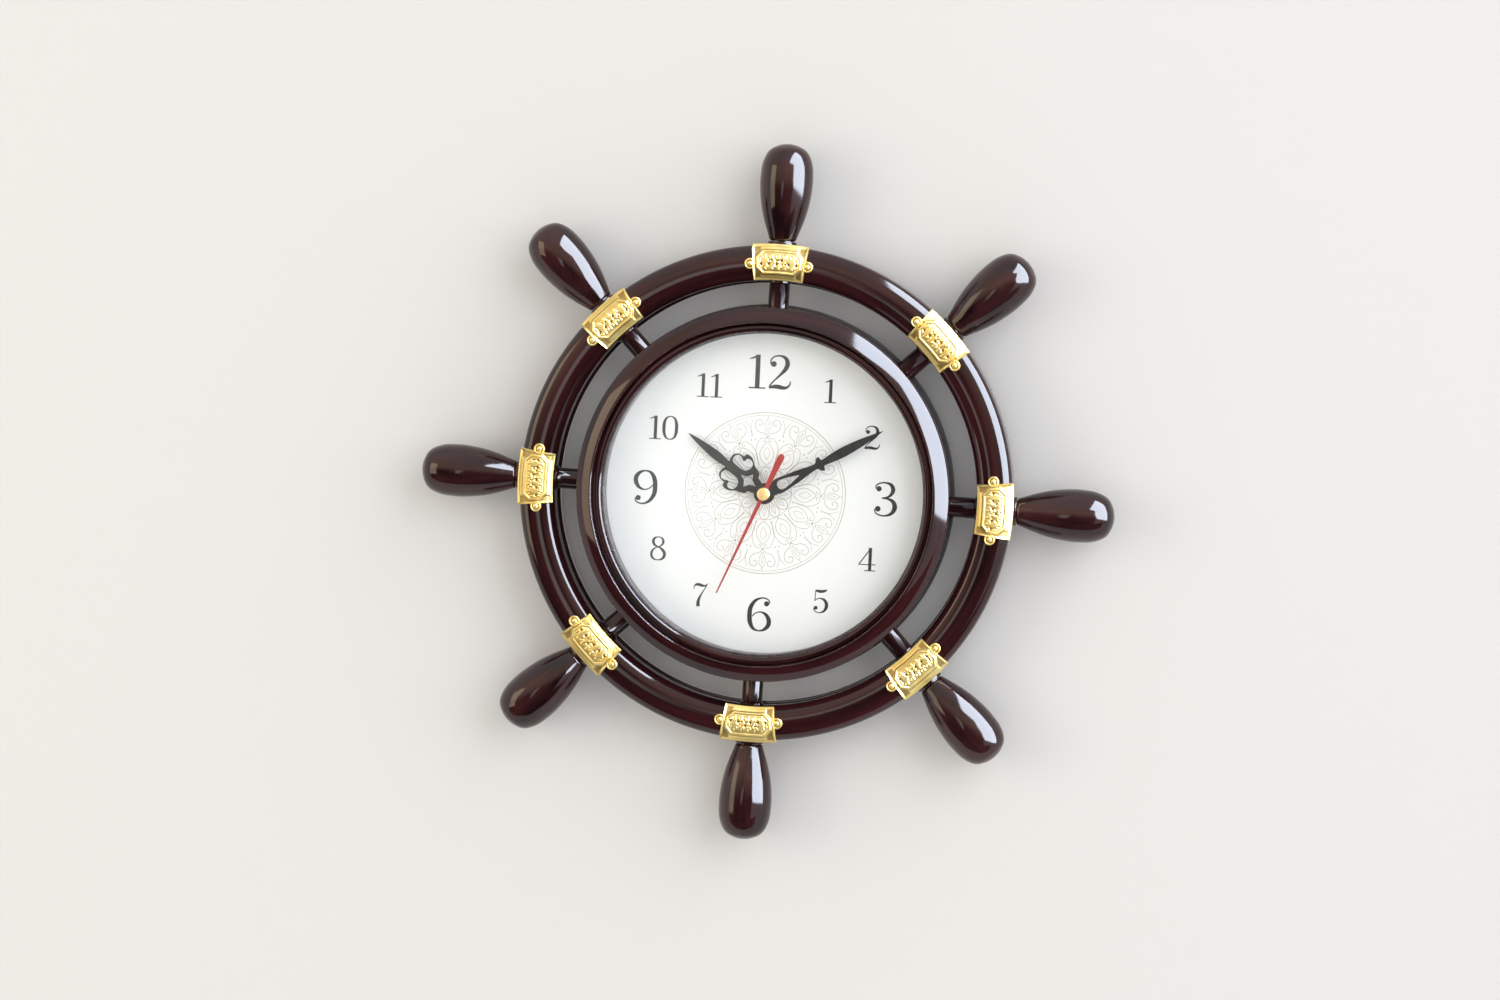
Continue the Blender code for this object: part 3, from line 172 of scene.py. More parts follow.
def prism(outline, low, high):
    """Points and faces of a plain prism over an outline in x and y."""
    count = len(outline)
    points = [(*p, low) for p in outline] + [(*p, high) for p in outline]
    faces = [(k, (k + 1) % count, count + (k + 1) % count, count + k) for k in range(count)]
    return points, faces + [tuple(range(count))[::-1], tuple(range(count, 2 * count))]


def spline(points, per_span=8, closed=False):
    """A smooth line through points of any width, for even spacings."""
    p = np.array(points, float)
    n = len(p)
    out = []
    for i in range(n if closed else n - 1):
        p1, p2 = p[i], p[(i + 1) % n]
        p0 = p[(i - 1) % n] if closed or i > 0 else 2 * p1 - p2
        p3 = p[(i + 2) % n] if closed or i + 2 < n else 2 * p2 - p1
        for k in range(per_span):
            t = k / per_span
            out.append(0.5 * ((2 * p1) + (p2 - p0) * t + (2 * p0 - 5 * p1 + 4 * p2 - p3) * t * t
                              + (3 * p1 - p0 - 3 * p2 + p3) * t ** 3))
    if not closed:
        out.append(p[-1])
    return [tuple(q) for q in out]


def rounded(profile, radius):
    """A closed profile with each corner sharper than 30 degrees cut round."""
    steps, keep = 3, radians(30)
    p = [np.array(q, float) for q in profile]
    out = []
    for i, here in enumerate(p):
        before, after = p[i - 1] - here, p[(i + 1) % len(p)] - here
        la, lb = np.linalg.norm(before), np.linalg.norm(after)
        if pi - np.arccos(np.clip(before @ after / (la * lb), -1, 1)) < keep:
            out.append(here)
            continue
        cut = min(radius, la * 0.45, lb * 0.45)
        start, end = here + before / la * cut, here + after / lb * cut
        for t in (k / steps for k in range(steps + 1)):
            out.append((1 - t) ** 2 * start + 2 * t * (1 - t) * here + t * t * end)
    return [tuple(q) for q in out]


def arc(centre, size, start, end, steps):
    """Points of an ellipse about a centre, between two angles."""
    return [(centre[0] + size[0] * cos(start + (end - start) * k / steps),
             centre[1] + size[1] * sin(start + (end - start) * k / steps)) for k in range(steps + 1)]


class Batch:
    """Points and faces gathered for one mesh."""

    def __init__(self):
        self.points, self.faces = [], []

    def add(self, points, faces):
        start = len(self.points)
        self.points += [tuple(p) for p in points]
        self.faces += [tuple(start + i for i in f) for f in faces]

    def ribbon(self, line, low, high, closed=False):
        """A flat solid band along (x, y, width) points, from depth low to high."""
        line = np.array(line, float)
        xy, half = line[:, :2], line[:, 2] / 2
        along = np.roll(xy, -1, 0) - np.roll(xy, 1, 0) if closed else np.gradient(xy, axis=0)
        along /= np.linalg.norm(along, axis=1)[:, None] + 1e-12
        side = np.stack([-along[:, 1], along[:, 0]], 1) * half[:, None]
        points = []
        for a, b in zip(xy + side, xy - side):
            points += [(*a, low), (*a, high), (*b, high), (*b, low)]
        faces = grid_faces(len(xy), 4, closed, True)
        if not closed:
            last = 4 * (len(xy) - 1)
            faces += [(0, 1, 2, 3), (last + 3, last + 2, last + 1, last)]
        self.add(points, faces)

    def dot(self, centre, radius, low, high, steps=28):
        self.add(*prism([(centre[0] + x, centre[1] + y) for x, y in on_circle(radius, steps)], low, high))


def cut_by(obj, tools):
    """Cuts the tools out of the piece, then removes them."""
    for tool in tools:
        change = obj.modifiers.new("cut", "BOOLEAN")
        change.operation, change.object, change.solver = "DIFFERENCE", tool, "EXACT"
        plain(obj)
        mesh = tool.data
        bpy.data.objects.remove(tool)
        bpy.data.meshes.remove(mesh)


def plain(obj):
    """Takes the modifiers' result as the piece's own mesh."""
    graph = bpy.context.evaluated_depsgraph_get()
    made = bpy.data.meshes.new_from_object(obj.evaluated_get(graph))
    obj.modifiers.clear()
    old, obj.data = obj.data, made
    name = old.name
    bpy.data.meshes.remove(old)
    made.name = name


def softened(node, finish, width=0.0003):
    """A copy of a solid with its edges rounded a little, to stand in its place."""
    mesh = NODES[node].data.copy()
    for own in ("custom_normal", "sharp_edge", "sharp_face"):
        if own in mesh.attributes:
            mesh.attributes.remove(mesh.attributes[own])
    tidy_mesh(mesh, 1e-6)
    mesh.materials.clear()
    mesh.materials.append(finish)
    smooth(mesh, 40)
    obj = show(node + "_soft", mesh)
    edges = obj.modifiers.new("edges", "BEVEL")
    edges.width, edges.segments, edges.limit_method, edges.angle_limit = width, 2, "ANGLE", radians(30)
    edges.use_clamp_overlap = edges.harden_normals = True
    plain(obj)
    return obj


def stand_for(obj, slot, body, *nodes):
    """Names what a finished piece rides on, takes its finish from and stands for."""
    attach(obj, body)
    if nodes:
        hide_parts(*nodes)


def numbered(name):
    return [f"{name}_{k}" for k in range(1, COPIES + 1)]


# Nodes

class Net:
    """A node tree with short calls for its nodes. Their inputs are plain values or other nodes' outputs."""

    def __init__(self, tree):
        self.tree = tree

    def feed(self, made, inputs):
        """Sets or links a node's inputs, each by its name or number."""
        for key, value in inputs.items():
            socket = made.inputs[key]
            if isinstance(value, bpy.types.NodeSocket):
                self.tree.links.new(value, socket)
            else:
                socket.default_value = (*value, 1.0) if socket.type == "RGBA" else value

    def add(self, kind, inputs=None, output=0, **settings):
        """A new node's output, by its name or number."""
        made = self.tree.nodes.new(kind)
        for name, value in settings.items():
            setattr(made, name, value)
        self.feed(made, inputs or {})
        return made.outputs[output]

    def math(self, operation, *values):
        return self.add("ShaderNodeMath", dict(enumerate(values)), operation=operation)

    def times(self, a, b):
        return self.math("MULTIPLY", a, b)

    def mix(self, share, a, b):
        return self.add("ShaderNodeMix", {0: share, 6: a, 7: b}, 2, data_type="RGBA")

    def noise(self, place, scale, detail=3.0, roughness=0.5):
        return self.add("ShaderNodeTexNoise", {"Vector": place, "Scale": scale, "Detail": detail,
                                               "Roughness": roughness}, "Fac")

    def ramp(self, value, low, high):
        """The value stretched so that low gives 0 and high gives 1, held inside those."""
        return self.add("ShaderNodeMapRange", {"Value": value, "From Min": low, "From Max": high})

    def place(self):
        return self.add("ShaderNodeTexCoord", output="Object")

    def axes(self):
        """The place's x, its depth line y, and its height over the dial's axis."""
        x, y, z = self.add("ShaderNodeSeparateXYZ", {0: self.place()}).node.outputs
        return x, y, self.math("SUBTRACT", z, AXIS_Z)

    def let_through(self, shader, share):
        """Makes that share of the finish clear."""
        clear = self.add("ShaderNodeBsdfTransparent")
        mix = self.add("ShaderNodeMixShader", {0: share, 1: shader.outputs[0], 2: clear})
        self.feed(self.tree.nodes["Material Output"], {"Surface": mix})


def shared_group(name, kind, inputs, outputs, fill):
    """The node group of that name, with its sockets, filled by a function when it is first asked for."""
    found = bpy.data.node_groups.get(name)
    if found:
        return found
    tree = bpy.data.node_groups.new(name, kind)
    for way, sockets in (("INPUT", inputs), ("OUTPUT", outputs)):
        for socket, sort in sockets.items():
            tree.interface.new_socket(socket, in_out=way, socket_type="NodeSocket" + sort)
    net = Net(tree)
    net.feed(tree.nodes.new("NodeGroupOutput"), fill(net, tree.nodes.new("NodeGroupInput").outputs))
    return tree


def fill_copies(net, given):
    """The input drawn at twelve, repeated at even steps clockwise about the dial's axis."""
    centre = net.add("ShaderNodeCombineXYZ", {"Z": given["Axis Height"]})
    marks = net.add("GeometryNodePoints", {"Count": given["Count"], "Position": centre})
    index = net.add("GeometryNodeInputIndex")
    angle = net.math("MULTIPLY_ADD", index, net.math("DIVIDE", 2 * pi, given["Count"]), given["First Angle"])
    turn = net.add("FunctionNodeEulerToRotation", {0: net.add("ShaderNodeCombineXYZ", {"Y": angle})})
    copies = net.add("GeometryNodeInstanceOnPoints", {"Points": marks, "Instance": given["Geometry"],
                                                      "Rotation": turn})
    real = net.add("GeometryNodeRealizeInstances", {0: copies})
    return {0: net.add("GeometryNodeSetMaterial", {"Geometry": real, "Material": given["Material"]})}


RING_OF_COPIES = ("Copies round the axis", "GeometryNodeTree",
                  {"Geometry": "Geometry", "Count": "Int", "First Angle": "Float", "Axis Height": "Float",
                   "Material": "Material"}, {"Geometry": "Geometry"}, fill_copies)


def copies_piece(name, batch, finish, count=COPIES, first=0.0, sharp=35.0, shade=None):
    """One piece of like shapes round the axis, from a batch drawn at twelve in x, y and d. shade marks how deep
    in a hollow each point lies."""
    mesh = bpy.data.meshes.new(name)
    mesh.from_pydata([(x, -d, y) for x, y, d in batch.points], [], batch.faces)
    if shade is not None:
        mesh.attributes.new("hollow", "FLOAT", "POINT").data.foreach_set("value", shade)
    tidy_mesh(mesh)
    obj = show(name, mesh)
    change = obj.modifiers.new("copies", "NODES")
    change.node_group = shared_group(*RING_OF_COPIES)
    ids = {s.name: s.identifier for s in change.node_group.interface.items_tree if s.in_out == "INPUT"}
    for key, value in (("Count", count), ("First Angle", first), ("Axis Height", AXIS_Z), ("Material", finish)):
        change[ids[key]] = value
    plain(obj)
    smooth(obj.data, sharp)
    if not obj.data.materials:
        obj.data.materials.append(finish)
    return obj


def fill_drift(net, given):
    """Two colours that drift into each other over the surface, with fine specks of the second."""
    broad = net.ramp(net.noise(given["Position"], given["Scale"]), 0.35, 0.68)
    fine = net.ramp(net.noise(given["Position"], given["Speck Scale"], 2.0), 0.55, 0.75)
    mask = net.math("MINIMUM", net.math("ADD", broad, net.times(fine, 0.35)), 1.0)
    return {"Colour": net.mix(mask, given["Colour"], given["Other"])}


DRIFT = ("Colour drift", "ShaderNodeTree",
         {"Position": "Vector", "Scale": "Float", "Speck Scale": "Float", "Colour": "Color", "Other": "Color"},
         {"Colour": "Color"}, fill_drift)


def fill_polish(net, given):
    """Roughness that varies with handling, and a height for fine orange peel or grain."""
    smear = net.ramp(net.noise(given["Position"], given["Smear Scale"], 5.0), 0.3, 0.7)
    span = net.math("SUBTRACT", given["High"], given["Low"])
    return {"Roughness": net.math("ADD", net.times(smear, span), given["Low"]),
            "Height": net.noise(given["Position"], given["Grain Scale"], 2.0)}


POLISH = ("Polish", "ShaderNodeTree",
          {"Position": "Vector", "Low": "Float", "High": "Float", "Smear Scale": "Float", "Grain Scale": "Float"},
          {"Roughness": "Float", "Height": "Float"}, fill_polish)


# Finishes

def new_material(name):
    """A new material, its net and its shader."""
    made = bpy.data.materials.new(name)
    made.use_nodes = True
    return made, Net(made.node_tree), made.node_tree.nodes["Principled BSDF"]


def surface(name, colour, other, rough, scales, relief, metallic=0.0, coat=0.0, gloss=0.5, stretch=None,
            unrolled=None, hollow=None):
    """A finish from the two shared groups: its two colours, its range of roughness, the scales of its drift,
    specks, smears and grain, and its relief's strength and depth. unrolled streaks it round the dial's axis or
    along the spokes. hollow is the colour and the added roughness that settle in a relief's hollows."""
    found = bpy.data.materials.get(name)
    if found:
        return found
    made, net, shader = new_material(name)
    if unrolled:
        along, across = unrolled
        x, y, height = net.axes()
        radius = net.math("SQRT", net.math("ADD", net.times(x, x), net.times(height, height)))
        turn = net.times(net.math("ARCTAN2", x, height), 0.1 * along)
        place = net.add("ShaderNodeCombineXYZ", {"X": turn, "Y": y, "Z": net.times(radius, across)})
    else:
        place = net.place()
    if stretch:
        place = net.add("ShaderNodeMapping", {"Vector": place, "Scale": stretch})
    drift, speck, smear, grain = scales
    base = net.add("ShaderNodeGroup", node_tree=shared_group(*DRIFT))
    net.feed(base.node, {"Position": place, "Scale": drift, "Speck Scale": speck, "Colour": colour,
                         "Other": other})
    polish = net.add("ShaderNodeGroup", node_tree=shared_group(*POLISH)).node
    net.feed(polish, {"Position": place, "Low": rough[0], "High": rough[1], "Smear Scale": smear,
                      "Grain Scale": grain})
    roughness = polish.outputs["Roughness"]
    if hollow:
        shade = net.add("ShaderNodeAttribute", output="Fac", attribute_name="hollow")
        base = net.mix(shade, base, hollow[0])
        roughness = net.math("ADD", roughness, net.times(shade, hollow[1]))
    bump = net.add("ShaderNodeBump", {"Strength": relief[0], "Distance": relief[1],
                                      "Height": polish.outputs["Height"]})
    net.feed(shader, {"Base Color": base, "Roughness": roughness, "Normal": bump, "Metallic": metallic,
                      "Specular IOR Level": gloss, "Coat Weight": coat, "Coat Roughness": 0.04})
    return made


def ring_lacquer():
    """Maroon lacquer whose streaks run round the rim and the bezel."""
    look = bpy.context.scene.wheel_clock_look
    return surface("Maroon lacquer, rings", tuple(look.lacquer_dark), tuple(look.lacquer_warm), (0.04, 0.11),
                   (150.0, 520.0, 45.0, 260.0), (0.030, 0.0004), unrolled=(0.10, 1.0))


def spindle_lacquer():
    """Maroon lacquer whose streaks run along the handles and the spokes."""
    look = bpy.context.scene.wheel_clock_look
    return surface("Maroon lacquer, spindles", tuple(c * 0.85 for c in look.lacquer_dark),
                   tuple(c + 0.0030 for c in look.lacquer_warm), (0.05, 0.14),
                   (170.0, 560.0, 45.0, 260.0), (0.030, 0.0004), unrolled=(1.0, 0.12))


def gold():
    return surface("Gold plate", tuple(bpy.context.scene.wheel_clock_look.gold), (0.86, 0.63, 0.19), (0.32, 0.44),
                   (120.0, 900.0, 260.0, 700.0), (0.08, 0.0002), metallic=0.85, coat=0.25,
                   hollow=((0.13, 0.060, 0.008), 0.10))


# Name, two colours, range of roughness, scales of drift, specks, smears and grain, relief, and what is special
FINISHES = {
    "card": ("Printed white card", (0.92, 0.93, 0.92), (0.90, 0.91, 0.90), (0.38, 0.50),
             (18.0, 1500.0, 60.0, 2600.0), (0.03, 0.00005), {}),
    "ink": ("Numeral ink", (0.014, 0.015, 0.017), (0.030, 0.031, 0.033), (0.30, 0.45),
            (300.0, 3000.0, 200.0, 3000.0), (0.05, 0.00003), {"gloss": 0.15}),
    "pale ink": ("Medallion ink", (0.38, 0.34, 0.24), (0.50, 0.46, 0.36), (0.40, 0.50),
                 (120.0, 3000.0, 200.0, 3000.0), (0.03, 0.00003), {}),
    "black": ("Black hand paint", (0.008, 0.007, 0.006), (0.018, 0.015, 0.012), (0.24, 0.38),
              (160.0, 2200.0, 150.0, 1800.0), (0.06, 0.00008), {"gloss": 0.15}),
    "red": ("Red hand paint", (0.44, 0.016, 0.013), (0.35, 0.013, 0.011), (0.28, 0.40),
            (160.0, 2200.0, 150.0, 1800.0), (0.05, 0.00006), {"gloss": 0.3}),
    "brass": ("Pale brass", (0.83, 0.57, 0.23), (0.72, 0.46, 0.16), (0.26, 0.38),
              (200.0, 2500.0, 500.0, 2400.0), (0.06, 0.00008), {"metallic": 0.9}),
    "steel": ("Steel", (0.56, 0.56, 0.57), (0.46, 0.46, 0.48), (0.22, 0.36),
              (180.0, 2000.0, 400.0, 2000.0), (0.06, 0.00008), {"metallic": 1.0}),
    "case": ("Black case plastic", (0.019, 0.018, 0.019), (0.027, 0.025, 0.026), (0.36, 0.50),
             (40.0, 1400.0, 60.0, 2200.0), (0.22, 0.0001), {}),
    "movement": ("Black movement plastic", (0.013, 0.013, 0.014), (0.020, 0.020, 0.021), (0.30, 0.46),
                 (60.0, 1600.0, 90.0, 3200.0), (0.16, 0.00008), {}),
    "gear": ("White gear plastic", (0.78, 0.78, 0.75), (0.70, 0.70, 0.66), (0.30, 0.42),
             (160.0, 2400.0, 160.0, 2600.0), (0.04, 0.00006), {}),
    "board": ("Green board", (0.015, 0.13, 0.055), (0.03, 0.19, 0.085), (0.34, 0.46),
              (420.0, 1500.0, 300.0, 1200.0), (0.10, 0.00008), {}),
    "copper": ("Copper winding", (0.72, 0.27, 0.10), (0.50, 0.16, 0.06), (0.24, 0.38),
               (50.0, 900.0, 300.0, 40.0), (0.5, 0.0003), {"metallic": 1.0, "stretch": (4.0, 4.0, 140.0)}),
    "spacer": ("Dark spacer", (0.020, 0.008, 0.010), (0.034, 0.014, 0.016), (0.22, 0.34),
               (90.0, 1200.0, 80.0, 1600.0), (0.05, 0.00008), {}),
    "jacket": ("Battery jacket", (0.20, 0.21, 0.22), (0.24, 0.25, 0.26), (0.16, 0.26),
               (80.0, 1500.0, 120.0, 1500.0), (0.03, 0.00006), {}),
}


def finish(key):
    *plainly, special = FINISHES[key]
    return surface(*plainly, **special)


def battery_wrap():
    """A plain grey jacket with a dark band at one end, and the bare metal of that end."""
    made = finish("jacket")
    net, shader = Net(made.node_tree), made.node_tree.nodes["Principled BSDF"]
    if shader.inputs["Metallic"].is_linked:
        return made
    low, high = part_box("battery")
    band = low.x + (high.x - low.x) * 0.70
    x = net.axes()[0]
    bare = net.ramp(x, high.x - 0.0021, high.x - 0.0019)
    jacket = net.mix(net.ramp(x, band, band + 0.0003), shader.inputs["Base Color"].links[0].from_socket,
                     (0.030, 0.032, 0.035))
    net.feed(shader, {"Base Color": net.mix(bare, jacket, (0.62, 0.62, 0.62)), "Metallic": bare})
    return made


def clear_glass():
    """Flat glass that lets the light through to the dial."""
    found = bpy.data.materials.get("Clear glass")
    if found:
        return found
    made, net, shader = new_material("Clear glass")
    wiped = net.ramp(net.noise(net.place(), 22.0, 6.0, 0.65), 0.45, 0.8)
    net.feed(shader, {"Base Color": (0.97, 0.985, 0.98), "IOR": 1.46, "Transmission Weight": 1.0,
                      "Roughness": net.math("ADD", net.times(wiped, 0.02), 0.004)})
    path = net.add("ShaderNodeLightPath").node.outputs
    net.let_through(shader, net.math("MAXIMUM", path["Is Shadow Ray"], path["Is Diffuse Ray"]))
    return made


# Rim, handles, spokes and plates

RIM_INNER, RIM_OUTER = 0.1078, 0.1259
RIM_MIDDLE, RIM_HALF = (RIM_INNER + RIM_OUTER) / 2, (RIM_OUTER - RIM_INNER) / 2
RIM_FRONT, RIM_SHOULDER, RIM_FOOT, RIM_BACK = 0.0270, 0.0205, 0.0095, 0.0072
RIM_WALL, RIM_EDGE = 0.0022, 0.0005
CROWN_POWER = 2.4
SPOKE_D, SPOKE_R, SPOKE_COLLAR_R, SPOKE_INTO = 0.0170, 0.00525, 0.0062, 0.0006
SPOKE_FLARE = ((SPOKE_R, 0.0016), (0.0056, 0.0013), (SPOKE_COLLAR_R, 0.0009))  # radius, and distance from the rim
NECK_R, COLLAR_TOP_R, COLLAR_R, COLLAR_FOOT_R, COLLAR_HIGH = 0.0060, 0.0070, 0.0073, 0.0071, 0.0022
BEZEL_OUTER = 0.0948
FLAT = cos(pi / 40)  # the solids' rings have 40 sides, whose middles lie this much nearer the axis
HANDLE_LINE = (
    (0.0, 0.0), (0.5, 3.5), (1.3, 5.9), (3.0, 8.9), (6.0, 11.2), (11.0, 12.9), (17.0, 13.4), (22.0, 13.35),
    (28.0, 12.7), (34.0, 11.6), (40.0, 9.9), (44.5, 8.3), (47.0, 7.4), (48.2, 7.0), (48.9, 6.6),
)  # millimetres from the tip, and radius


def rim_crown(share, top=RIM_FRONT):
    """Depth of the rim's crown at a share of its half width."""
    return RIM_SHOULDER + (top - RIM_SHOULDER) * (1 - abs(share) ** CROWN_POWER) ** (1 / CROWN_POWER)


def crown_line(inset, steps):
    """The rim's crown from its inner to its outer side, or the same line further in."""
    half = (RIM_OUTER - inset - (RIM_INNER + inset)) / 2
    shares = [-cos(pi * k / (2 * steps)) ** 0.8 for k in range(steps)]
    shares += [0.0] + [-s for s in reversed(shares)]
    return [(RIM_MIDDLE + half * s, rim_crown(s, RIM_FRONT - inset)) for s in shares]


class WHEELCLOCK_OT_rim(bpy.types.Operator):
    """Hollow rim shell with its rounded front, on a flat back ring"""
    bl_idname = "wheelclock.rim"
    bl_label = "Rim"

    def execute(self, context):
        edge = RIM_FOOT + RIM_EDGE
        line = crown_line(0.0, 22)
        line += [(RIM_OUTER, edge), (RIM_OUTER - RIM_EDGE, RIM_FOOT), (RIM_OUTER - RIM_WALL, RIM_FOOT)]
        line += crown_line(RIM_WALL, 6)[::-1]
        line += [(RIM_INNER + RIM_WALL, RIM_FOOT), (RIM_INNER + RIM_EDGE, RIM_FOOT), (RIM_INNER, edge)]
        stand_for(ring_piece("rim_shell", line, ring_lacquer()), "lacquer", "clock", "rim_front")
        inner, front = RIM_INNER - 0.0010, RIM_FOOT - GAP
        flat = rounded([(inner, RIM_BACK), (inner, front), (RIM_OUTER, front), (RIM_OUTER, RIM_BACK)], RIM_EDGE)
        stand_for(ring_piece("rim_back_ring", flat, ring_lacquer()), "lacquer", "clock", "rim_back")
        return {"FINISHED"}


def spindle_copies(name, profile, steps, *nodes):
    """Eight solids turned about the spoke lines, from radii and distances from the dial's axis."""
    batch = Batch()
    points, faces = turned_solid(profile, steps)
    batch.add([(x, reach, SPOKE_D + y) for x, y, reach in points], faces)
    stand_for(copies_piece(name, batch, spindle_lacquer(), sharp=50), "lacquer", "clock", *nodes)


class WHEELCLOCK_OT_handles(bpy.types.Operator):
    """Eight turned handles with their collars, repeated round the axis"""
    bl_idname = "wheelclock.handles"
    bl_label = "Handles"

    def execute(self, context):
        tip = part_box("handle_1")[1].z - AXIS_Z
        seat = RIM_OUTER * FLAT + GAP
        top = seat + COLLAR_HIGH
        grip = spline([(r * MM, tip - z * MM) for z, r in HANDLE_LINE], 5)
        grip = [(0.0, tip)] + [(max(r, 0.0), z) for r, z in grip[1:]]
        neck = [(NECK_R, grip[-1][1] - 0.0002), (NECK_R, top), (0.0, top)]
        spindle_copies("handle_grips", grip + neck, 72, *numbered("handle"))
        bead = rounded([(COLLAR_TOP_R, top), (COLLAR_R, seat + COLLAR_HIGH / 2), (COLLAR_FOOT_R, seat)], GAP)
        spindle_copies("handle_collars", [(0.0, top)] + bead + [(0.0, seat)], 72)
        return {"FINISHED"}


class WHEELCLOCK_OT_spokes(bpy.types.Operator):
    """Eight short turned spokes between the bezel and the rim"""
    bl_idname = "wheelclock.spokes"
    bl_label = "Spokes"

    def execute(self, context):
        low, high = BEZEL_OUTER * FLAT - SPOKE_INTO, RIM_INNER + GAP
        profile = [(0.0, low), (SPOKE_R, low)] + [(r, high - d) for r, d in SPOKE_FLARE]
        profile += [(SPOKE_COLLAR_R, high), (0.0, high)]
        spindle_copies("spoke_rods", profile, 56, *numbered("spoke"))
        return {"FINISHED"}


# A plate's relief: heights over the rim's crown, across (u) and along the spoke (v), in metres

PLATE_HALF, PLATE_SIDE = 0.0135, 0.00878
PLATE_NARROW, PLATE_OUT = 0.925, 0.0005  # the plate stops short of the rim's inner edge
PLATE_THICK, PLATE_ROLL = 0.0012, 0.0005
PANEL_U, PANEL_V, PANEL_CLIP = 0.0116, 0.0060, 0.0046
FRAME_HALF, FRAME_TOP, FIELD_SHARE, LEAF_SHARE = 0.00075, 0.00085, 0.62, 0.72
FIELD_IN, FIELD_RISE, GROOVE_OUT, GROOVE_HALF, VALLEY_HIGH = 0.0014, 0.0003, 0.00018, 0.00030, 0.30 * MM
BEAD_HALF, BEAD_TOP, CORNER_DEEP, PIT_DEEP = 0.00040, 0.00042, 0.00030, 0.00040
CORNER_OUT, CORNER_IN, CORNER_SLOPE, CORNER_U, CORNER_FADE = 0.00030, 0.00095, 0.0004, 0.0088, 0.0008
PITS = ((-9.0, -0.9, 0.50), (-5.1, -0.9, 0.52), (-1.1, -0.9, 0.50), (1.4, 0.9, 0.46), (5.1, -0.9, 0.52),
        (9.0, -0.9, 0.50), (-3.5, 1.0, 0.36), (3.3, -0.9, 0.34))  # place and radius, in millimetres


def clamp(values):
    return np.clip(values, 0, 1)


def octagon(u, v):
    """Distance outside the panel's rectangle with clipped corners, negative inside it."""
    a, b = np.abs(u), np.abs(v)
    clip = (a + b - (PANEL_U + PANEL_V - PANEL_CLIP * 0.72)) / np.sqrt(2)
    return np.maximum(np.maximum(a - PANEL_U, b - PANEL_V), clip)


def curl(x, y, size, turn, sweep, flip):
    """Points of a scroll that winds in, from its open end at (x, y)."""
    out = []
    for t in (k / 39 for k in range(40)):
        r, a = size * (1 - 0.78 * t), turn + flip * sweep * t
        out.append((x + size * cos(turn + pi) + r * cos(a), y + size * sin(turn + pi) + r * sin(a)))
    return out


def leaf(x, y, lean, length=1.5):
    return [(x + lean * t * length, y + t * length) for t in np.linspace(0, 1, 12)]


def scrollwork(u, v):
    """Raised leaves and scrolls, the same in all four quarters of the panel. Lines are in millimetres."""
    lines = []  # points, radius and height
    for x in (0.0, 3.4, 6.9):
        lines.append((leaf(x, 1.7, 0.0), 0.62, 0.52))
        lines.append((leaf(x + 0.75, 1.45, 0.55, 1.25), 0.46, 0.42))
        if x:
            lines.append((leaf(x - 0.75, 1.45, -0.55, 1.25), 0.46, 0.42))
    for x, turn, flip in ((1.9, 200, 1), (5.3, 200, 1), (8.1, -20, -1)):
        lines.append((curl(x, 0.5, 0.80, radians(turn), radians(430), flip), 0.40, 0.48))
    lines.append(([(0.0, 0.0)], 0.70, 0.60))
    lines.append(([(9.3 + 0.02 * k, 2.1 - 0.1 * k) for k in range(22)], 0.42, 0.40))
    relief = np.zeros(u.shape)
    for line, radius, top in lines:
        for su, sv in ((1, 1), (1, -1), (-1, 1), (-1, -1)):
            nearest = np.full(u.shape, 1.0)
            for x, y in line:
                nearest = np.minimum(nearest, np.hypot(u - su * x * MM, v - sv * y * MM))
            share = clamp(nearest / (radius * MM))
            relief = np.maximum(relief, LEAF_SHARE * top * MM * np.sqrt(1 - share ** 2))
    return relief


def plate_relief(u, v):
    """Raised edge, long clipped panel in a rounded frame, low scrolls and leaves in it, and small dark pits.
    Also how deep in a hollow each point lies."""
    d = octagon(u, v)
    share = clamp(1 - np.abs(d + FRAME_HALF) / FRAME_HALF)
    frame = np.sqrt(1 - (1 - share) ** 2)
    field = clamp(-(d + FIELD_IN) / FIELD_RISE)
    relief = scrollwork(u, v)
    height = FRAME_TOP * np.maximum(frame, FIELD_SHARE * field) + field * relief
    pits = np.zeros(u.shape)
    for x, y, r in PITS:
        pits = np.maximum(pits, clamp(1.7 - np.hypot(u - x * MM, v - y * MM) / (r * MM)))
    height = height * (1 - 0.6 * field * pits) - field * pits * PIT_DEEP
    inset = np.minimum(PLATE_HALF - np.abs(u), PLATE_SIDE - np.abs(v))
    height += BEAD_TOP * np.sqrt(clamp(1 - np.abs(inset - BEAD_HALF) / BEAD_HALF))
    corner = clamp(np.minimum(d - CORNER_OUT, inset - CORNER_IN) / CORNER_SLOPE)
    corner *= clamp((np.abs(u) - CORNER_U) / CORNER_FADE)
    height -= corner * CORNER_DEEP
    groove = clamp(1.2 - np.abs(d - GROOVE_OUT) / GROOVE_HALF)
    valley = field * clamp(1 - relief / VALLEY_HIGH)
    hollow = np.maximum(np.maximum(pits * field, corner * 0.72), np.maximum(groove * 0.85, valley * 0.30))
    return height, clamp(hollow)


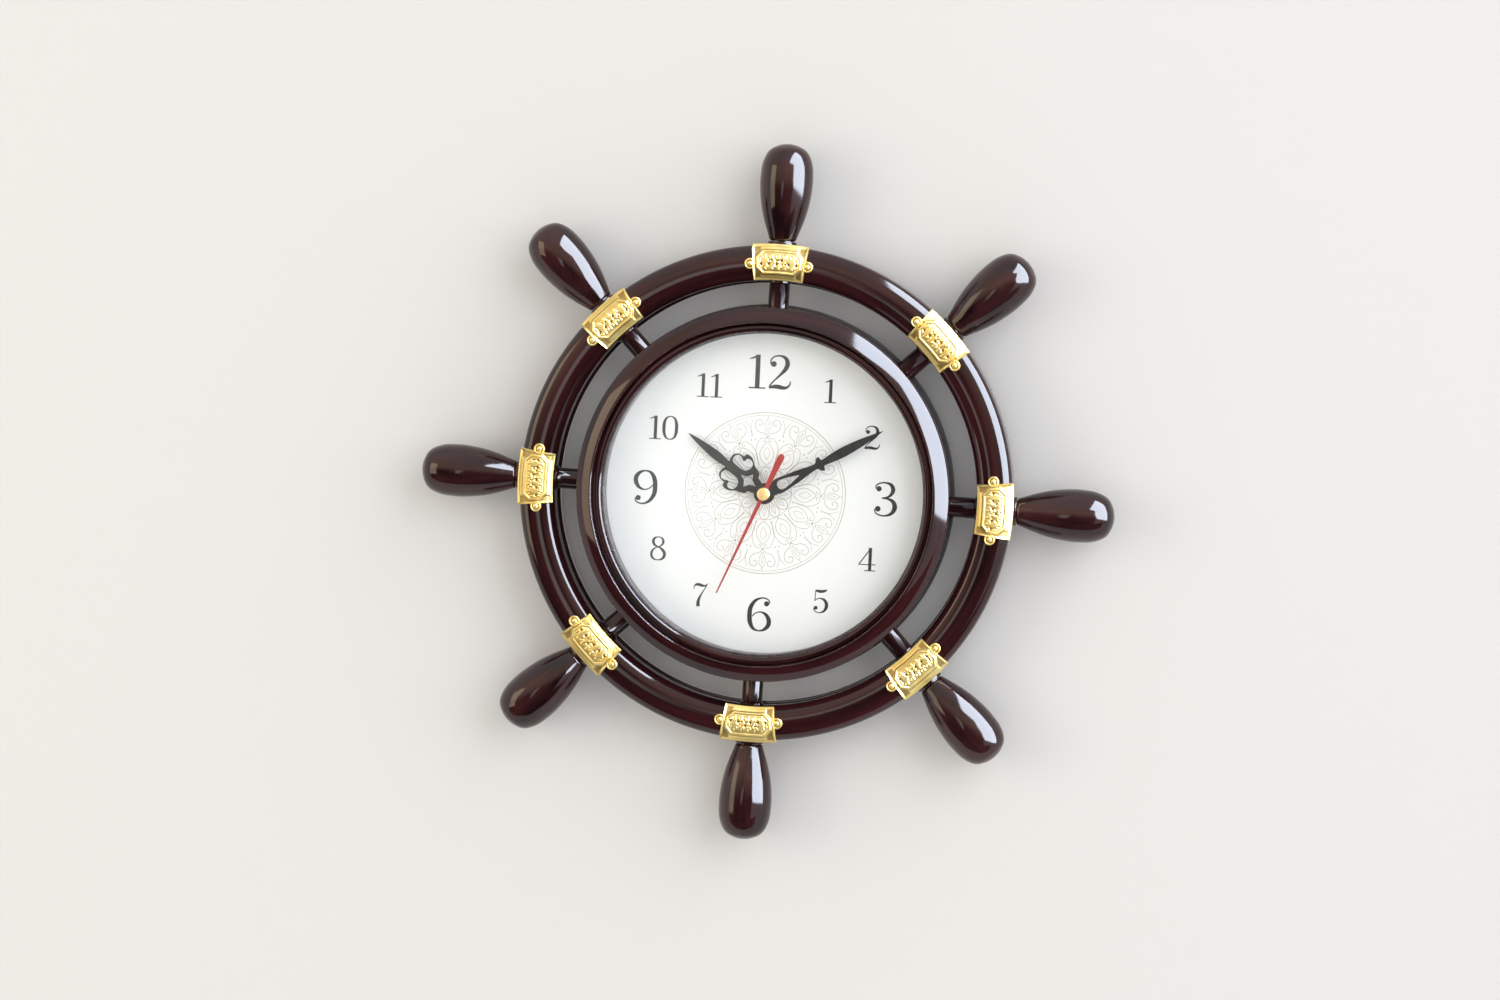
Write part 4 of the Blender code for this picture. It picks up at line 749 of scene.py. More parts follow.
def plate_batch(rows=112, columns=78):
    """One plate at twelve: the relief, its rolled edges and its under side. Also its hollows' shade."""
    us = np.linspace(-1, 1, rows)
    us = np.sign(us) * (1 - (1 - np.abs(us)) ** 1.06) * PLATE_HALF
    vs = np.sin(np.linspace(-pi / 2, pi / 2, columns)) * 0.35 + np.linspace(-1, 1, columns) * 0.65
    u, v = np.meshgrid(us, vs * PLATE_SIDE, indexing="ij")
    height, hollow = plate_relief(u, v)
    edge = np.minimum(PLATE_HALF - np.abs(u), PLATE_SIDE - np.abs(v))
    v = v * PLATE_NARROW + PLATE_OUT
    inside = np.clip(PLATE_ROLL - edge, 0, PLATE_ROLL)
    fall = PLATE_ROLL - np.sqrt(np.clip(PLATE_ROLL ** 2 - inside ** 2, 0, None))
    lift = GAP + PLATE_THICK + height - fall
    base = rim_crown(np.clip(v / RIM_HALF, -0.985, 0.985))
    tilt = np.arctan(np.gradient(base, axis=1) / np.gradient(v, axis=1))
    angle = u / RIM_MIDDLE

    def placed(radius, depth):
        return np.stack([radius * np.sin(angle), radius * np.cos(angle), depth], -1)

    top = placed(RIM_MIDDLE + v - lift * np.sin(tilt), base + lift * np.cos(tilt)).reshape(-1, 3)
    under = placed(RIM_MIDDLE + v, base + GAP)
    loop = [(i, 0) for i in range(rows)] + [(rows - 1, j) for j in range(1, columns)]
    loop += [(i, columns - 1) for i in range(rows - 2, -1, -1)] + [(0, j) for j in range(columns - 2, 0, -1)]
    start, count = len(top), len(loop)
    faces = grid_faces(rows, columns)
    for k, (i, j) in enumerate(loop):
        n = (k + 1) % count
        i2, j2 = loop[n]
        faces.append((i * columns + j, i2 * columns + j2, start + n, start + k))
    faces += [(start + (k + 1) % count, start + k, start + count) for k in range(count)]
    batch = Batch()
    batch.add([*top, *(under[i, j] for i, j in loop), (0.0, RIM_MIDDLE, RIM_FRONT + GAP)], faces)
    return batch, np.concatenate([hollow.reshape(-1), np.zeros(count + 1)])


EAR_LINE = ((0.0, 0.0), (2.6, 0.0), (2.85, 0.3), (2.85, 1.0), (2.6, 1.4), (2.2, 1.5), (1.9, 1.2), (1.75, 1.0),
            (1.55, 1.0), (1.45, 1.3), (1.3, 1.8), (0.95, 2.1), (0.5, 2.2), (0.0, 2.25))  # radius and height, mm
EAR_OUT, EAR_HOLLOW = 0.0011, (0.00150, 0.00180)  # beyond the plate's end, and the dark groove's radii


def ear_batch():
    """The two ears of a plate at twelve: a disc, its raised ring and the stud in it."""
    batch = Batch()
    across, seat = PLATE_HALF + EAR_OUT, RIM_FRONT + GAP
    along = (RIM_MIDDLE ** 2 - across ** 2) ** 0.5
    points, faces = turned_solid([(r * MM, seat + rise * MM) for r, rise in EAR_LINE], 32)
    low, high = EAR_HOLLOW
    shade = [1.0 if low < (x * x + y * y) ** 0.5 < high else 0.0 for x, y, _ in points]
    for side in (-1, 1):
        batch.add([(side * across + x, along + y, d) for x, y, d in points], faces)
    return batch, np.array(shade * 2)


class WHEELCLOCK_OT_plates(bpy.types.Operator):
    """Eight gold plates over the rim, with a framed scroll relief, ears and studs"""
    bl_idname = "wheelclock.plates"
    bl_label = "Rim plates"

    def execute(self, context):
        for name, (batch, shade), nodes in (("plate_reliefs", plate_batch(), numbered("rim_plate")),
                                            ("plate_ears", ear_batch(), ())):
            stand_for(copies_piece(name, batch, gold(), sharp=60, shade=shade), "gold", "clock", *nodes)
        return {"FINISHED"}


# Bezel, glass and dial

BEZEL_CREASE, BEZEL_LIP, BEZEL_WALL, BEZEL_FOOT = 0.0863, 0.0823, 0.0022, 0.0113
BEZEL_FRONT, CREASE_D, LENS_FRONT, LENS_BACK = 0.0394, 0.0345, 0.0325, 0.0305
BEZEL_CHAMFER, CREASE_ROUND, LIP_RISE = 0.0004, 0.0010, 0.0010
LENS_R, SPACER_INNER, SPACER_OUTER = 0.088, 0.0813, 0.0838
DIAL_BACK, DIAL_FRONT, DIAL_HOLE_R, DIAL_R = 0.0185, 0.0195, 0.0042, 0.0860
NUMERAL_R = 0.0617
BEZEL_SLOPE = ((0.0, 4.80), (0.07, 4.40), (0.33, 3.95), (0.9, 3.42), (1.6, 2.87), (2.6, 2.20), (3.6, 1.62),
               (4.6, 1.12), (5.6, 0.68), (6.5, 0.32), (7.1, 0.10), (7.5, 0.0))  # in from the side, back, mm


class WHEELCLOCK_OT_bezel(bpy.types.Operator):
    """Half-round bezel with its crease and the small bead at the glass"""
    bl_idname = "wheelclock.bezel"
    bl_label = "Bezel"

    def execute(self, context):
        line = [(BEZEL_OUTER - BEZEL_CHAMFER, BEZEL_FOOT), (BEZEL_OUTER, BEZEL_FOOT + BEZEL_CHAMFER)]
        line += [(BEZEL_OUTER - x * MM, BEZEL_FRONT - d * MM) for x, d in spline(BEZEL_SLOPE, 4)]
        turn_in, drop = BEZEL_CREASE + CREASE_ROUND, BEZEL_FRONT - CREASE_D
        line += arc((turn_in, CREASE_D), (CREASE_ROUND, drop), pi / 2, pi, 12)[1:]
        bead_middle, bead_half = (BEZEL_CREASE + BEZEL_LIP) / 2, (BEZEL_CREASE - BEZEL_LIP) / 2
        line += arc((bead_middle, CREASE_D), (bead_half, LIP_RISE), 0, pi, 12)[1:]
        shelf, inside = LENS_FRONT + GAP, BEZEL_OUTER - BEZEL_WALL
        line += [(BEZEL_LIP, shelf + GAP), (BEZEL_LIP + GAP, shelf), (inside, shelf), (inside, BEZEL_FOOT)]
        stand_for(ring_piece("bezel_moulding", line, ring_lacquer(), 45), "lacquer", "clock", "bezel")
        return {"FINISHED"}


class WHEELCLOCK_OT_glass(bpy.types.Operator):
    """Flat round glass and the spacer ring that holds it off the dial"""
    bl_idname = "wheelclock.glass"
    bl_label = "Glass and spacer"

    def execute(self, context):
        low, high, side = LENS_BACK, LENS_FRONT, LENS_R - GAP
        line = [(0.0, low), (side, low), (LENS_R, low + GAP), (LENS_R, high - GAP), (side, high), (0.0, high)]
        stand_for(disc_piece("glass_disc", line, clear_glass()), "glass", "clock", "lens")
        foot, top = DIAL_FRONT + GAP, low - GAP
        band = [(SPACER_INNER, foot), (SPACER_INNER, top), (SPACER_OUTER, top), (SPACER_OUTER, foot)]
        spacer = ring_piece("spacer_band", rounded(band, GAP), finish("spacer"))
        stand_for(spacer, "dark_inner", "clock", "spacer_ring")
        return {"FINISHED"}


class WHEELCLOCK_OT_dial(bpy.types.Operator):
    """White card dial with its centre hole, and the nut that holds the movement to it"""
    bl_idname = "wheelclock.dial"
    bl_label = "Dial"

    def execute(self, context):
        card = rounded([(DIAL_HOLE_R, DIAL_BACK), (DIAL_HOLE_R, DIAL_FRONT), (DIAL_R, DIAL_FRONT),
                        (DIAL_R, DIAL_BACK)], 0.00008)
        stand_for(ring_piece("dial_card", card, finish("card")), "dial_white", "clock", "dial")
        stand_for(softened("fixing_nut", finish("brass"), 0.00015), "brass", "clock", "fixing_nut")
        return {"FINISHED"}


# Numerals in a high-contrast book face

FIGURES = {  # advance, stretch across, and strokes: points with their width, in thousandths of the height
    "0": (560, 1.1872, [
        ("loop", (280, 985, 40), (430, 900, 85), (495, 700, 125), (505, 500, 135), (495, 300, 125), (430, 100, 85),
         (280, 15, 40), (130, 100, 85), (65, 300, 125), (55, 500, 135), (65, 700, 125), (130, 900, 85))]),
    "1": (460, 1.1236, [
        ("bar", (250, 20, 135), (250, 985, 135)),
        ("bar", (30, 19, 40), (470, 19, 40)),
        ("line", (300, 975, 50), (200, 930, 60), (110, 885, 45), (30, 865, 30))]),
    "2": (620, 1.1872, [
        ("dot", (145, 735, 82)),
        ("line", (68, 730, 30), (75, 850, 40), (160, 955, 42), (300, 980, 50), (430, 920, 100), (485, 770, 135),
         (440, 600, 120), (320, 430, 70), (170, 250, 45), (85, 130, 45), (60, 40, 55)),
        ("line", (55, 30, 50), (150, 75, 100), (280, 75, 125), (410, 50, 100), (500, 75, 70), (555, 150, 45),
         (575, 250, 30))]),
    "3": (580, 1.3568, [
        ("dot", (130, 800, 78)),
        ("line", (58, 800, 30), (70, 890, 38), (150, 965, 42), (270, 980, 50), (385, 930, 95), (435, 790, 125),
         (400, 650, 95), (320, 565, 55), (200, 530, 34)),
        ("line", (200, 530, 34), (330, 515, 60), (440, 440, 110), (485, 280, 140), (430, 110, 105), (310, 25, 55),
         (190, 25, 42), (85, 85, 40), (45, 200, 30)),
        ("dot", (122, 215, 82))]),
    "4": (600, 1.272, [
        ("bar", (400, 20, 135), (400, 980, 135)),
        ("bar", (425, 985, 46), (35, 275, 46)),
        ("bar", (20, 275, 40), (585, 275, 40)),
        ("bar", (220, 19, 40), (580, 19, 40))]),
    "5": (570, 1.2508, [
        ("line", (105, 945, 75), (210, 915, 120), (330, 915, 125), (430, 950, 85), (490, 995, 30)),
        ("bar", (105, 970, 36), (85, 500, 36)),
        ("line", (85, 515, 30), (150, 585, 38), (260, 620, 50), (390, 570, 100), (475, 420, 138), (475, 240, 138),
         (400, 90, 95), (280, 22, 50), (170, 30, 40), (80, 100, 38), (45, 200, 30)),
        ("dot", (122, 215, 82))]),
    "6": (580, 1.3356, [
        ("dot", (430, 815, 76)),
        ("line", (500, 830, 30), (475, 920, 38), (390, 975, 42), (290, 970, 50), (170, 880, 90), (80, 680, 125),
         (65, 450, 135), (85, 240, 128), (160, 70, 85), (280, 15, 42), (400, 60, 85), (485, 190, 125),
         (490, 350, 128), (420, 500, 90), (310, 565, 42), (200, 530, 34), (120, 430, 32))]),
    "7": (580, 1.166, [
        ("line", (45, 740, 30), (60, 860, 45), (120, 925, 90), (220, 935, 125), (330, 900, 115), (430, 890, 70),
         (500, 930, 50), (535, 990, 35)),
        ("line", (530, 985, 35), (470, 830, 42), (380, 650, 50), (300, 480, 75), (235, 300, 115), (215, 130, 145),
         (225, 10, 150))]),
    "8": (580, 1.2932, [
        ("loop", (280, 985, 40), (400, 930, 75), (445, 800, 100), (410, 670, 75), (300, 575, 50), (170, 640, 95),
         (115, 790, 120), (160, 930, 85)),
        ("loop", (270, 560, 45), (400, 480, 100), (490, 330, 125), (485, 170, 120), (400, 50, 80), (280, 15, 42),
         (140, 60, 75), (70, 200, 100), (85, 370, 90), (160, 490, 60))]),
}
NUMERALS = (("12", 0, 1), ("1", 1, 0), ("2", 2, 0), ("3", 3, 1), ("4", 4, 0), ("5", 5, 0), ("6", 6, 1),
            ("7", 7, 0), ("8", 8, 0), ("9", 9, 1), ("10", 10, 0), ("11", 11, 0))  # text, hour, large or not
FIGURE_GAP = 55  # thousandths of the height
PRINT_BACK, PRINT_FRONT = DIAL_FRONT - 0.00001, DIAL_FRONT + 0.00004
PRINT_STEP = 0.000004  # each stroke lies this much over the one before it
PALE_FRONT = DIAL_FRONT + 0.00002


def figure(digit):
    """A figure's advance, its stretch across and its strokes. Nine is six turned round."""
    if digit != "9":
        return FIGURES[digit]
    advance, stretch, strokes = FIGURES["6"]
    return advance, stretch, [(kind, *((advance - x, 1000 - y, w) for x, y, w in line)) for kind, *line in strokes]


def draw_numeral(batch, text, hour, height, turn):
    """Draws a numeral upright at its hour, in thin raised print, with the whole dial turned by turn."""
    figures = [figure(c) for c in text]
    part, angle, high = height / 1000, 2 * pi * hour / 12, PRINT_FRONT
    pen = -(sum(advance * stretch for advance, stretch, _ in figures) + FIGURE_GAP * (len(text) - 1)) / 2
    for advance, stretch, strokes in figures:
        for kind, *line in strokes:
            closed = kind == "loop"
            placed = []
            for x, y, w in spline(line, 7, closed) if kind in ("line", "loop") else line:
                px = NUMERAL_R * sin(angle) + (pen + x * stretch) * part
                py = NUMERAL_R * cos(angle) + (y - 500) * part
                placed.append((px * cos(turn) + py * sin(turn), py * cos(turn) - px * sin(turn), w * part))
            if kind == "dot":
                batch.dot(placed[0][:2], placed[0][2], PRINT_BACK, high)
            else:
                batch.ribbon(placed, PRINT_BACK, high, closed)
            high += PRINT_STEP
        pen += advance * stretch + FIGURE_GAP


class WHEELCLOCK_OT_numerals(bpy.types.Operator):
    """Twelve plain numerals, larger at twelve, three, six and nine"""
    bl_idname = "wheelclock.numerals"
    bl_label = "Numerals"

    def execute(self, context):
        look = context.scene.wheel_clock_look
        batch = Batch()
        for text, hour, large in NUMERALS:
            draw_numeral(batch, text, hour, look.large_numeral if large else look.small_numeral,
                         radians(look.dial_turn))
        numerals = mesh_piece("dial_numerals", [world(*p) for p in batch.points], batch.faces, finish("ink"))
        stand_for(numerals, "hand_black", "clock")
        return {"FINISHED"}


# A twelfth of the medallion at twelve, in millimetres: its rings, the right half of its lines, and its dots
ROSETTE_RINGS = ((41.0, 0.34), (39.6, 0.20), (13.5, 0.24))  # radius and width
ROSETTE_LINES = (
    (0.26, (0.0, 4.5), (1.7, 8.0), (2.5, 10.8), (1.5, 12.6), (0.0, 13.4)),
    (0.18, (0.0, 6.8), (0.75, 9.4), (0.0, 11.8)),
    (0.28, (0.0, 14.2), (2.6, 16.6), (3.6, 20.0), (2.4, 23.4), (0.0, 26.2)),
    (0.20, (0.0, 17.2), (1.3, 19.4), (1.5, 21.4), (0.0, 23.6)),
    (0.26, (3.5, 14.0), (4.6, 16.8), (5.6, 20.6), (5.2, 24.6), (3.4, 27.6), (1.4, 27.9), (0.8, 26.9),
     (1.5, 26.1), (2.4, 26.6)),
    (0.28, (0.0, 27.8), (1.6, 30.2), (4.3, 31.0), (6.4, 33.4), (6.2, 36.4), (3.9, 37.3), (2.6, 35.9),
     (3.4, 34.4), (4.7, 34.9)),
    (0.22, (0.0, 29.8), (1.3, 32.4), (1.5, 35.4), (0.0, 38.4)),
    (0.16, (0.0, 31.6), (0.55, 33.6), (0.0, 36.0)),
    (0.20, (7.2, 28.6), (8.4, 31.0), (8.6, 34.0), (7.6, 37.4)),
)  # width, then the line's points
ROSETTE_DOTS = ((0.0, 28.6, 0.40), (6.2, 27.2, 0.36), (0.0, 39.0, 0.26))


def medallion_sector():
    """Border arcs, petals, leaf sprays and curling stems, mirrored about twelve."""
    batch = Batch()
    for radius, width in ROSETTE_RINGS:
        line = arc((0, 0), (radius * MM, radius * MM), pi / 2 + pi / 12, pi / 2 - pi / 12, 10)
        batch.ribbon([(*p, width * MM) for p in line], PRINT_BACK, PALE_FRONT)
    for width, *points in ROSETTE_LINES:
        for side in (1, -1):
            line = spline([(side * x * MM, y * MM) for x, y in points], 6)
            batch.ribbon([(*p, width * MM) for p in line], PRINT_BACK, PALE_FRONT)
    for x, y, r in ROSETTE_DOTS:
        for side in (1, -1) if x else (1,):
            batch.dot((side * x * MM, y * MM), r * MM, PRINT_BACK, PALE_FRONT, 12)
    return batch


class WHEELCLOCK_OT_medallion(bpy.types.Operator):
    """Faint rosette and scrolls round the dial's middle, one sector repeated round the axis"""
    bl_idname = "wheelclock.medallion"
    bl_label = "Medallion"

    def execute(self, context):
        lines = copies_piece("dial_medallion", medallion_sector(), finish("pale ink"), count=12,
                             first=radians(context.scene.wheel_clock_look.dial_turn))
        stand_for(lines, "dial_white", "clock")
        return {"FINISHED"}


# Hands: outlines in millimetres along and across, from the hub's centre

HOUR_EDGE = [(7.4, 4.2), (8.0, 6.0), (9.4, 6.9), (12.2, 7.9), (15.5, 10.1), (17.4, 10.5), (19.1, 10.2),
             (19.7, 9.2), (19.9, 8.3), (21.6, 8.2), (23.2, 7.65), (24.5, 6.3), (24.8, 4.9), (24.6, 3.0),
             (24.3, 1.75), (27.0, 2.0), (31.6, 2.32), (38.0, 1.85), (44.5, 1.05), (49.3, 0.12)]
HOUR_STAR = [(5.6, 0.0), (8.8, 1.3), (10.6, 4.1), (12.3, 1.3), (15.4, 0.0), (12.3, -1.3), (10.6, -4.1),
             (8.8, -1.3)]
HOUR_SCROLL = [(22.7, 7.15), (23.8, 5.1), (22.8, 2.85), (19.8, 2.4), (17.0, 2.45), (14.8, 3.1), (13.4, 5.4),
               (13.9, 8.1), (16.2, 9.15), (17.8, 8.3), (18.0, 6.9), (18.8, 6.4), (19.9, 6.95), (21.3, 7.5)]
MINUTE_EDGE = [(6.3, 3.4), (7.6, 3.85), (8.7, 3.95), (11.0, 3.8), (14.0, 3.5), (20.2, 2.8), (25.0, 1.95),
               (29.3, 1.42), (30.6, 1.9), (31.6, 3.2), (32.8, 3.9), (33.4, 3.1), (33.7, 2.0), (34.5, 1.58),
               (39.0, 2.1), (45.4, 2.5), (50.5, 2.3), (56.0, 1.9), (60.5, 1.3), (64.0, 0.85), (68.5, 0.10)]
MINUTE_DROP = [(7.8, 0.0), (8.3, 1.6), (9.8, 2.5), (13.0, 2.1), (17.0, 1.05), (20.1, 0.0), (17.0, -1.05),
               (13.0, -2.1), (9.8, -2.5), (8.3, -1.6)]
SECOND_TAIL = [(-22.4, 0.0), (-22.3, 0.6), (-21.9, 1.15), (-21.2, 1.55), (-20.2, 1.7), (-12.0, 1.4),
               (-4.0, 1.15)]
SECOND_BLADE = [(4.0, 1.0), (30.0, 0.66), (56.0, 0.35)]
HUB_R, SECOND_HUB_R, HOUR_HOLE_R, MINUTE_HOLE_R, SECOND_HOLE_R = 5.3, 2.6, 2.55, 1.65, 0.55
HOUR_D, MINUTE_D, SECOND_D, HAND_THICK = 0.0219, 0.0240, 0.0260, 0.0006
CAP_D, CAP_R, CAP_RISE, CAP_CHAMFER = 0.0269, 0.0033, 0.0010, 0.0002


def hub_arc(radius, start, end, steps):
    """Along and across points of a hub, from its tail to where the blade leaves it."""
    return arc((0, 0), (-radius, radius), radians(start), radians(end), steps)


def mirrored(half):
    return half + [(a, -c) for a, c in reversed(half) if abs(c) > 1e-9]


def hand_piece(name, outer, holes, angle, back, material, bevel):
    """A stamped hand: an outline with its holes, filled, thickened and softened at its edges."""
    curve = bpy.data.curves.new(name, "CURVE")
    curve.dimensions, curve.fill_mode = "2D", "BOTH"
    curve.extrude = HAND_THICK / 2 - bevel
    curve.bevel_depth, curve.bevel_resolution, curve.offset = bevel, 2, -bevel
    for points in [outer] + holes:
        loop = curve.splines.new("POLY")
        loop.points.add(len(points) - 1)
        for place, (along, across) in zip(loop.points, points):
            place.co = (across * MM, along * MM, 0.0, 1.0)
        loop.use_cyclic_u = True
    drawn = show(name + "_line", curve)
    graph = bpy.context.evaluated_depsgraph_get()
    mesh = bpy.data.meshes.new_from_object(drawn.evaluated_get(graph))
    bpy.data.objects.remove(drawn)
    bpy.data.curves.remove(curve)
    turn, middle = Matrix.Rotation(-angle, 4, "Z"), back + HAND_THICK / 2
    for vertex in mesh.vertices:
        x, y, z = turn @ vertex.co
        vertex.co = world(x, y, middle + z)
    tidy_mesh(mesh, 2e-6)
    mesh.materials.clear()
    mesh.materials.append(material)
    smooth(mesh, 50)
    mesh.name = name
    return show(name, mesh)


class WHEELCLOCK_OT_hands(bpy.types.Operator):
    """Pierced hour and minute hands, the red second hand and its domed brass cap"""
    bl_idname = "wheelclock.hands"
    bl_label = "Hands"

    def execute(self, context):
        look = context.scene.wheel_clock_look
        hub = hub_arc(HUB_R, 0, 142, 16)
        scroll = spline(HOUR_SCROLL, 5, True)
        hour = hand_piece("hour_hand_plate", mirrored(hub + spline(HOUR_EDGE, 5)),
                          [on_circle(HOUR_HOLE_R, 40), HOUR_STAR, scroll, [(a, -c) for a, c in scroll]],
                          radians(look.hour_angle), HOUR_D, finish("black"), 0.0001)
        stand_for(hour, "hand_black", "hours", "hour_hand")
        minute = hand_piece("minute_hand_plate", mirrored(hub + spline(MINUTE_EDGE, 5)),
                            [on_circle(MINUTE_HOLE_R, 40), spline(MINUTE_DROP, 5, True)],
                            radians(look.minute_angle), MINUTE_D, finish("black"), 0.0001)
        stand_for(minute, "hand_black", "minutes", "minute_hand")
        second = hand_piece("second_hand_needle",
                            mirrored(SECOND_TAIL + hub_arc(SECOND_HUB_R, 38, 142, 10) + SECOND_BLADE),
                            [on_circle(SECOND_HOLE_R, 20)],
                            radians(look.second_angle), SECOND_D, finish("red"), 0.00008)
        stand_for(second, "hand_red", "seconds", "second_hand")
        foot = CAP_D + CAP_RISE
        dome = [(CAP_R * cos(a), foot + CAP_RISE * sin(a) ** 0.6) for a in (pi / 24 * k for k in range(12))]
        line = [(0.0, CAP_D), (CAP_R - CAP_CHAMFER, CAP_D), (CAP_R, CAP_D + CAP_CHAMFER)] + dome
        line.append((0.0, foot + CAP_RISE))
        stand_for(disc_piece("hand_cap_dome", line, finish("brass"), 64), "brass", "seconds", "second_hand_cap")
        return {"FINISHED"}


# Back: case, screws, movement and battery

CASE_BACK, CASE_WALL_R, CASE_FLANGE = 0.0905, 0.0934, 0.0958
CASE_CHAMFER, CASE_EDGE, CASE_WALL, FLANGE_BACK, FLANGE_D = 0.0028, 0.0004, 0.0022, 0.0090, 0.0110
TOOL_BACK, TOOL_FRONT = -0.001, 0.004
WINDOW_HALF, WINDOW_CORNER = 0.02995, 0.0008
SCREW_CIRCLE, SCREW_FIRST, SCREW_COUNT = 0.0875, radians(67.5), 4
WELL_R, WELL_OUTER, WELL_FLOOR = 0.0029, 0.0037, 0.0092
CELL_EDGE, NUB_R, NUB_FOOT_R, NUB_TOP_R, NUB_HIGH = 0.0007, 0.00275, 0.0030, 0.0024, 0.0015
HANG_R, KEY_HEAD_R, KEY_SLOT_R, KEY_DROP = 0.0700, 0.0046, 0.0023, 0.0090


def case_tool(name, outline):
    """A plain prism through the case's back, to cut with."""
    points, faces = prism(outline, TOOL_BACK, TOOL_FRONT)
    return mesh_piece(name, [world(*p) for p in points], faces, finish("case"))


class WHEELCLOCK_OT_rear_case(bpy.types.Operator):
    """Rear case with its keyhole, the movement's window and the wells of its screws"""
    bl_idname = "wheelclock.rear_case"
    bl_label = "Rear case"

    def execute(self, context):
        inner = CASE_WALL_R - CASE_WALL
        outer = rounded([(0.0, 0.0), (CASE_BACK, 0.0), (CASE_WALL_R, CASE_CHAMFER), (CASE_WALL_R, FLANGE_BACK),
                         (CASE_FLANGE, FLANGE_BACK), (CASE_FLANGE, FLANGE_D), (inner, FLANGE_D),
                         (inner, CASE_CHAMFER), (CASE_BACK - CASE_WALL, CASE_WALL), (0.0, CASE_WALL)], CASE_EDGE)
        line = [(0.0, 0.0)] + [p for p in outer if p[0] > 0.001] + [(0.0, CASE_WALL)]
        case = disc_piece("rear_case_pan", line, finish("case"), 192, 30)
        place, window = WINDOW_HALF - WINDOW_CORNER, []
        for quarter, (sx, sy) in enumerate(((1, 1), (-1, 1), (-1, -1), (1, -1))):
            window += arc((sx * place, sy * place), (WINDOW_CORNER, WINDOW_CORNER), quarter * pi / 2,
                          (quarter + 1) * pi / 2, 5)
        drop = HANG_R - KEY_DROP
        slot = arc((0, HANG_R), (KEY_SLOT_R, KEY_SLOT_R), 0, pi, 20) + [(-KEY_SLOT_R, drop), (KEY_SLOT_R, drop)]
        tools = [case_tool("window_tool", window), case_tool("slot_tool", slot),
                 case_tool("head_tool", [(x, y + drop) for x, y in on_circle(KEY_HEAD_R, 48)])]
        for k in range(SCREW_COUNT):
            a = SCREW_FIRST + 2 * pi * k / SCREW_COUNT
            tools.append(case_tool(f"well_tool_{k}", [(x + SCREW_CIRCLE * sin(a), y + SCREW_CIRCLE * cos(a))
                                                      for x, y in on_circle(WELL_R, 40)]))
        cut_by(case, tools)
        smooth(case.data, 30)
        stand_for(case, "case_plastic", "clock", "rear_case")
        batch = Batch()
        end = FLANGE_D - 0.0001
        points, faces = turned_solid([(0.0, WELL_FLOOR), (WELL_R, WELL_FLOOR), (WELL_R, GAP),
                                      (WELL_OUTER, CASE_WALL - CASE_EDGE), (WELL_OUTER, end), (0.0, end)], 40)
        batch.add([(x, SCREW_CIRCLE + y, d) for x, y, d in points], faces)
        wells = copies_piece("screw_wells", batch, finish("case"), SCREW_COUNT, SCREW_FIRST)
        stand_for(wells, "case_plastic", "clock")
        for k in range(1, SCREW_COUNT + 1):
            screw = softened(f"case_screw_{k}", finish("steel"), 0.00015)
            stand_for(screw, "steel", "clock", f"case_screw_{k}")
        return {"FINISHED"}


INSIDE_FINISHES = {
    "movement": ("movement_front",),
    "gear": ("middle_plate", "step_wheel", "second_wheel", "third_wheel", "minute_wheel", "hour_wheel"),
    "brass": ("centre_wheel", "minute_tube"),
    "steel": ("rotor", "stator", "contact_plus", "contact_minus"),
    "copper": ("coil",),
    "board": ("circuit_board",),
}


class WHEELCLOCK_OT_movement(bpy.types.Operator):
    """Movement case, setting knob and battery, as seen from the back, and the finishes of what they hold"""
    bl_idname = "wheelclock.movement"
    bl_label = "Movement"

    def execute(self, context):
        case = softened("movement_back", finish("movement"), 0.0003)
        stand_for(case, "movement_plastic", "clock", "movement_back")
        knob = softened("setting_knob", finish("movement"), 0.0002)
        stand_for(knob, "movement_plastic", "setting", "setting_knob")
        low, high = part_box("battery")
        middle, length, edge = (low + high) / 2, high.x - low.x, CELL_EDGE
        side, body = (high.y - low.y) / 2 - edge, length - NUB_HIGH
        line = [(0.0, 0.0)] + arc((side, edge), (edge, edge), -pi / 2, 0, 5)
        line += arc((side, body - edge), (edge, edge), 0, pi / 2, 5)
        line += [(NUB_FOOT_R, body), (NUB_R, body + 0.0003), (NUB_R, length - 0.0004), (NUB_TOP_R, length),
                 (0.0, length)]
        points, faces = turned_solid(line, 72)
        placed = [(low.x + along, middle.y + a, middle.z + b) for a, b, along in points]
        cell = mesh_piece("battery_cell", placed, faces, battery_wrap())
        stand_for(cell, "battery_wrap", "clock", "battery")
        for key, nodes in INSIDE_FINISHES.items():
            for node in nodes:
                if not NODES[node].material_slots:
                    NODES[node].data.materials.append(finish(key))
                for slot in NODES[node].material_slots:
                    slot.material = finish(key)
        return {"FINISHED"}


# Stage

ROOM_Y = -1.75  # where the window and the room's cards stand, beside the camera
ROOM_CARDS = (("side", -4.0, -1.2, 3.0, -3.0), ("middle", -1.2, 1.2, 1.2, -3.0), ("corner", 1.2, 3.0, -1.0, -3.0))
NEAR = 0.012  # light from the clock's own back passes the wall within this
FRAME_WIDTH = 0.76285  # what the camera sees at the wheel's plane


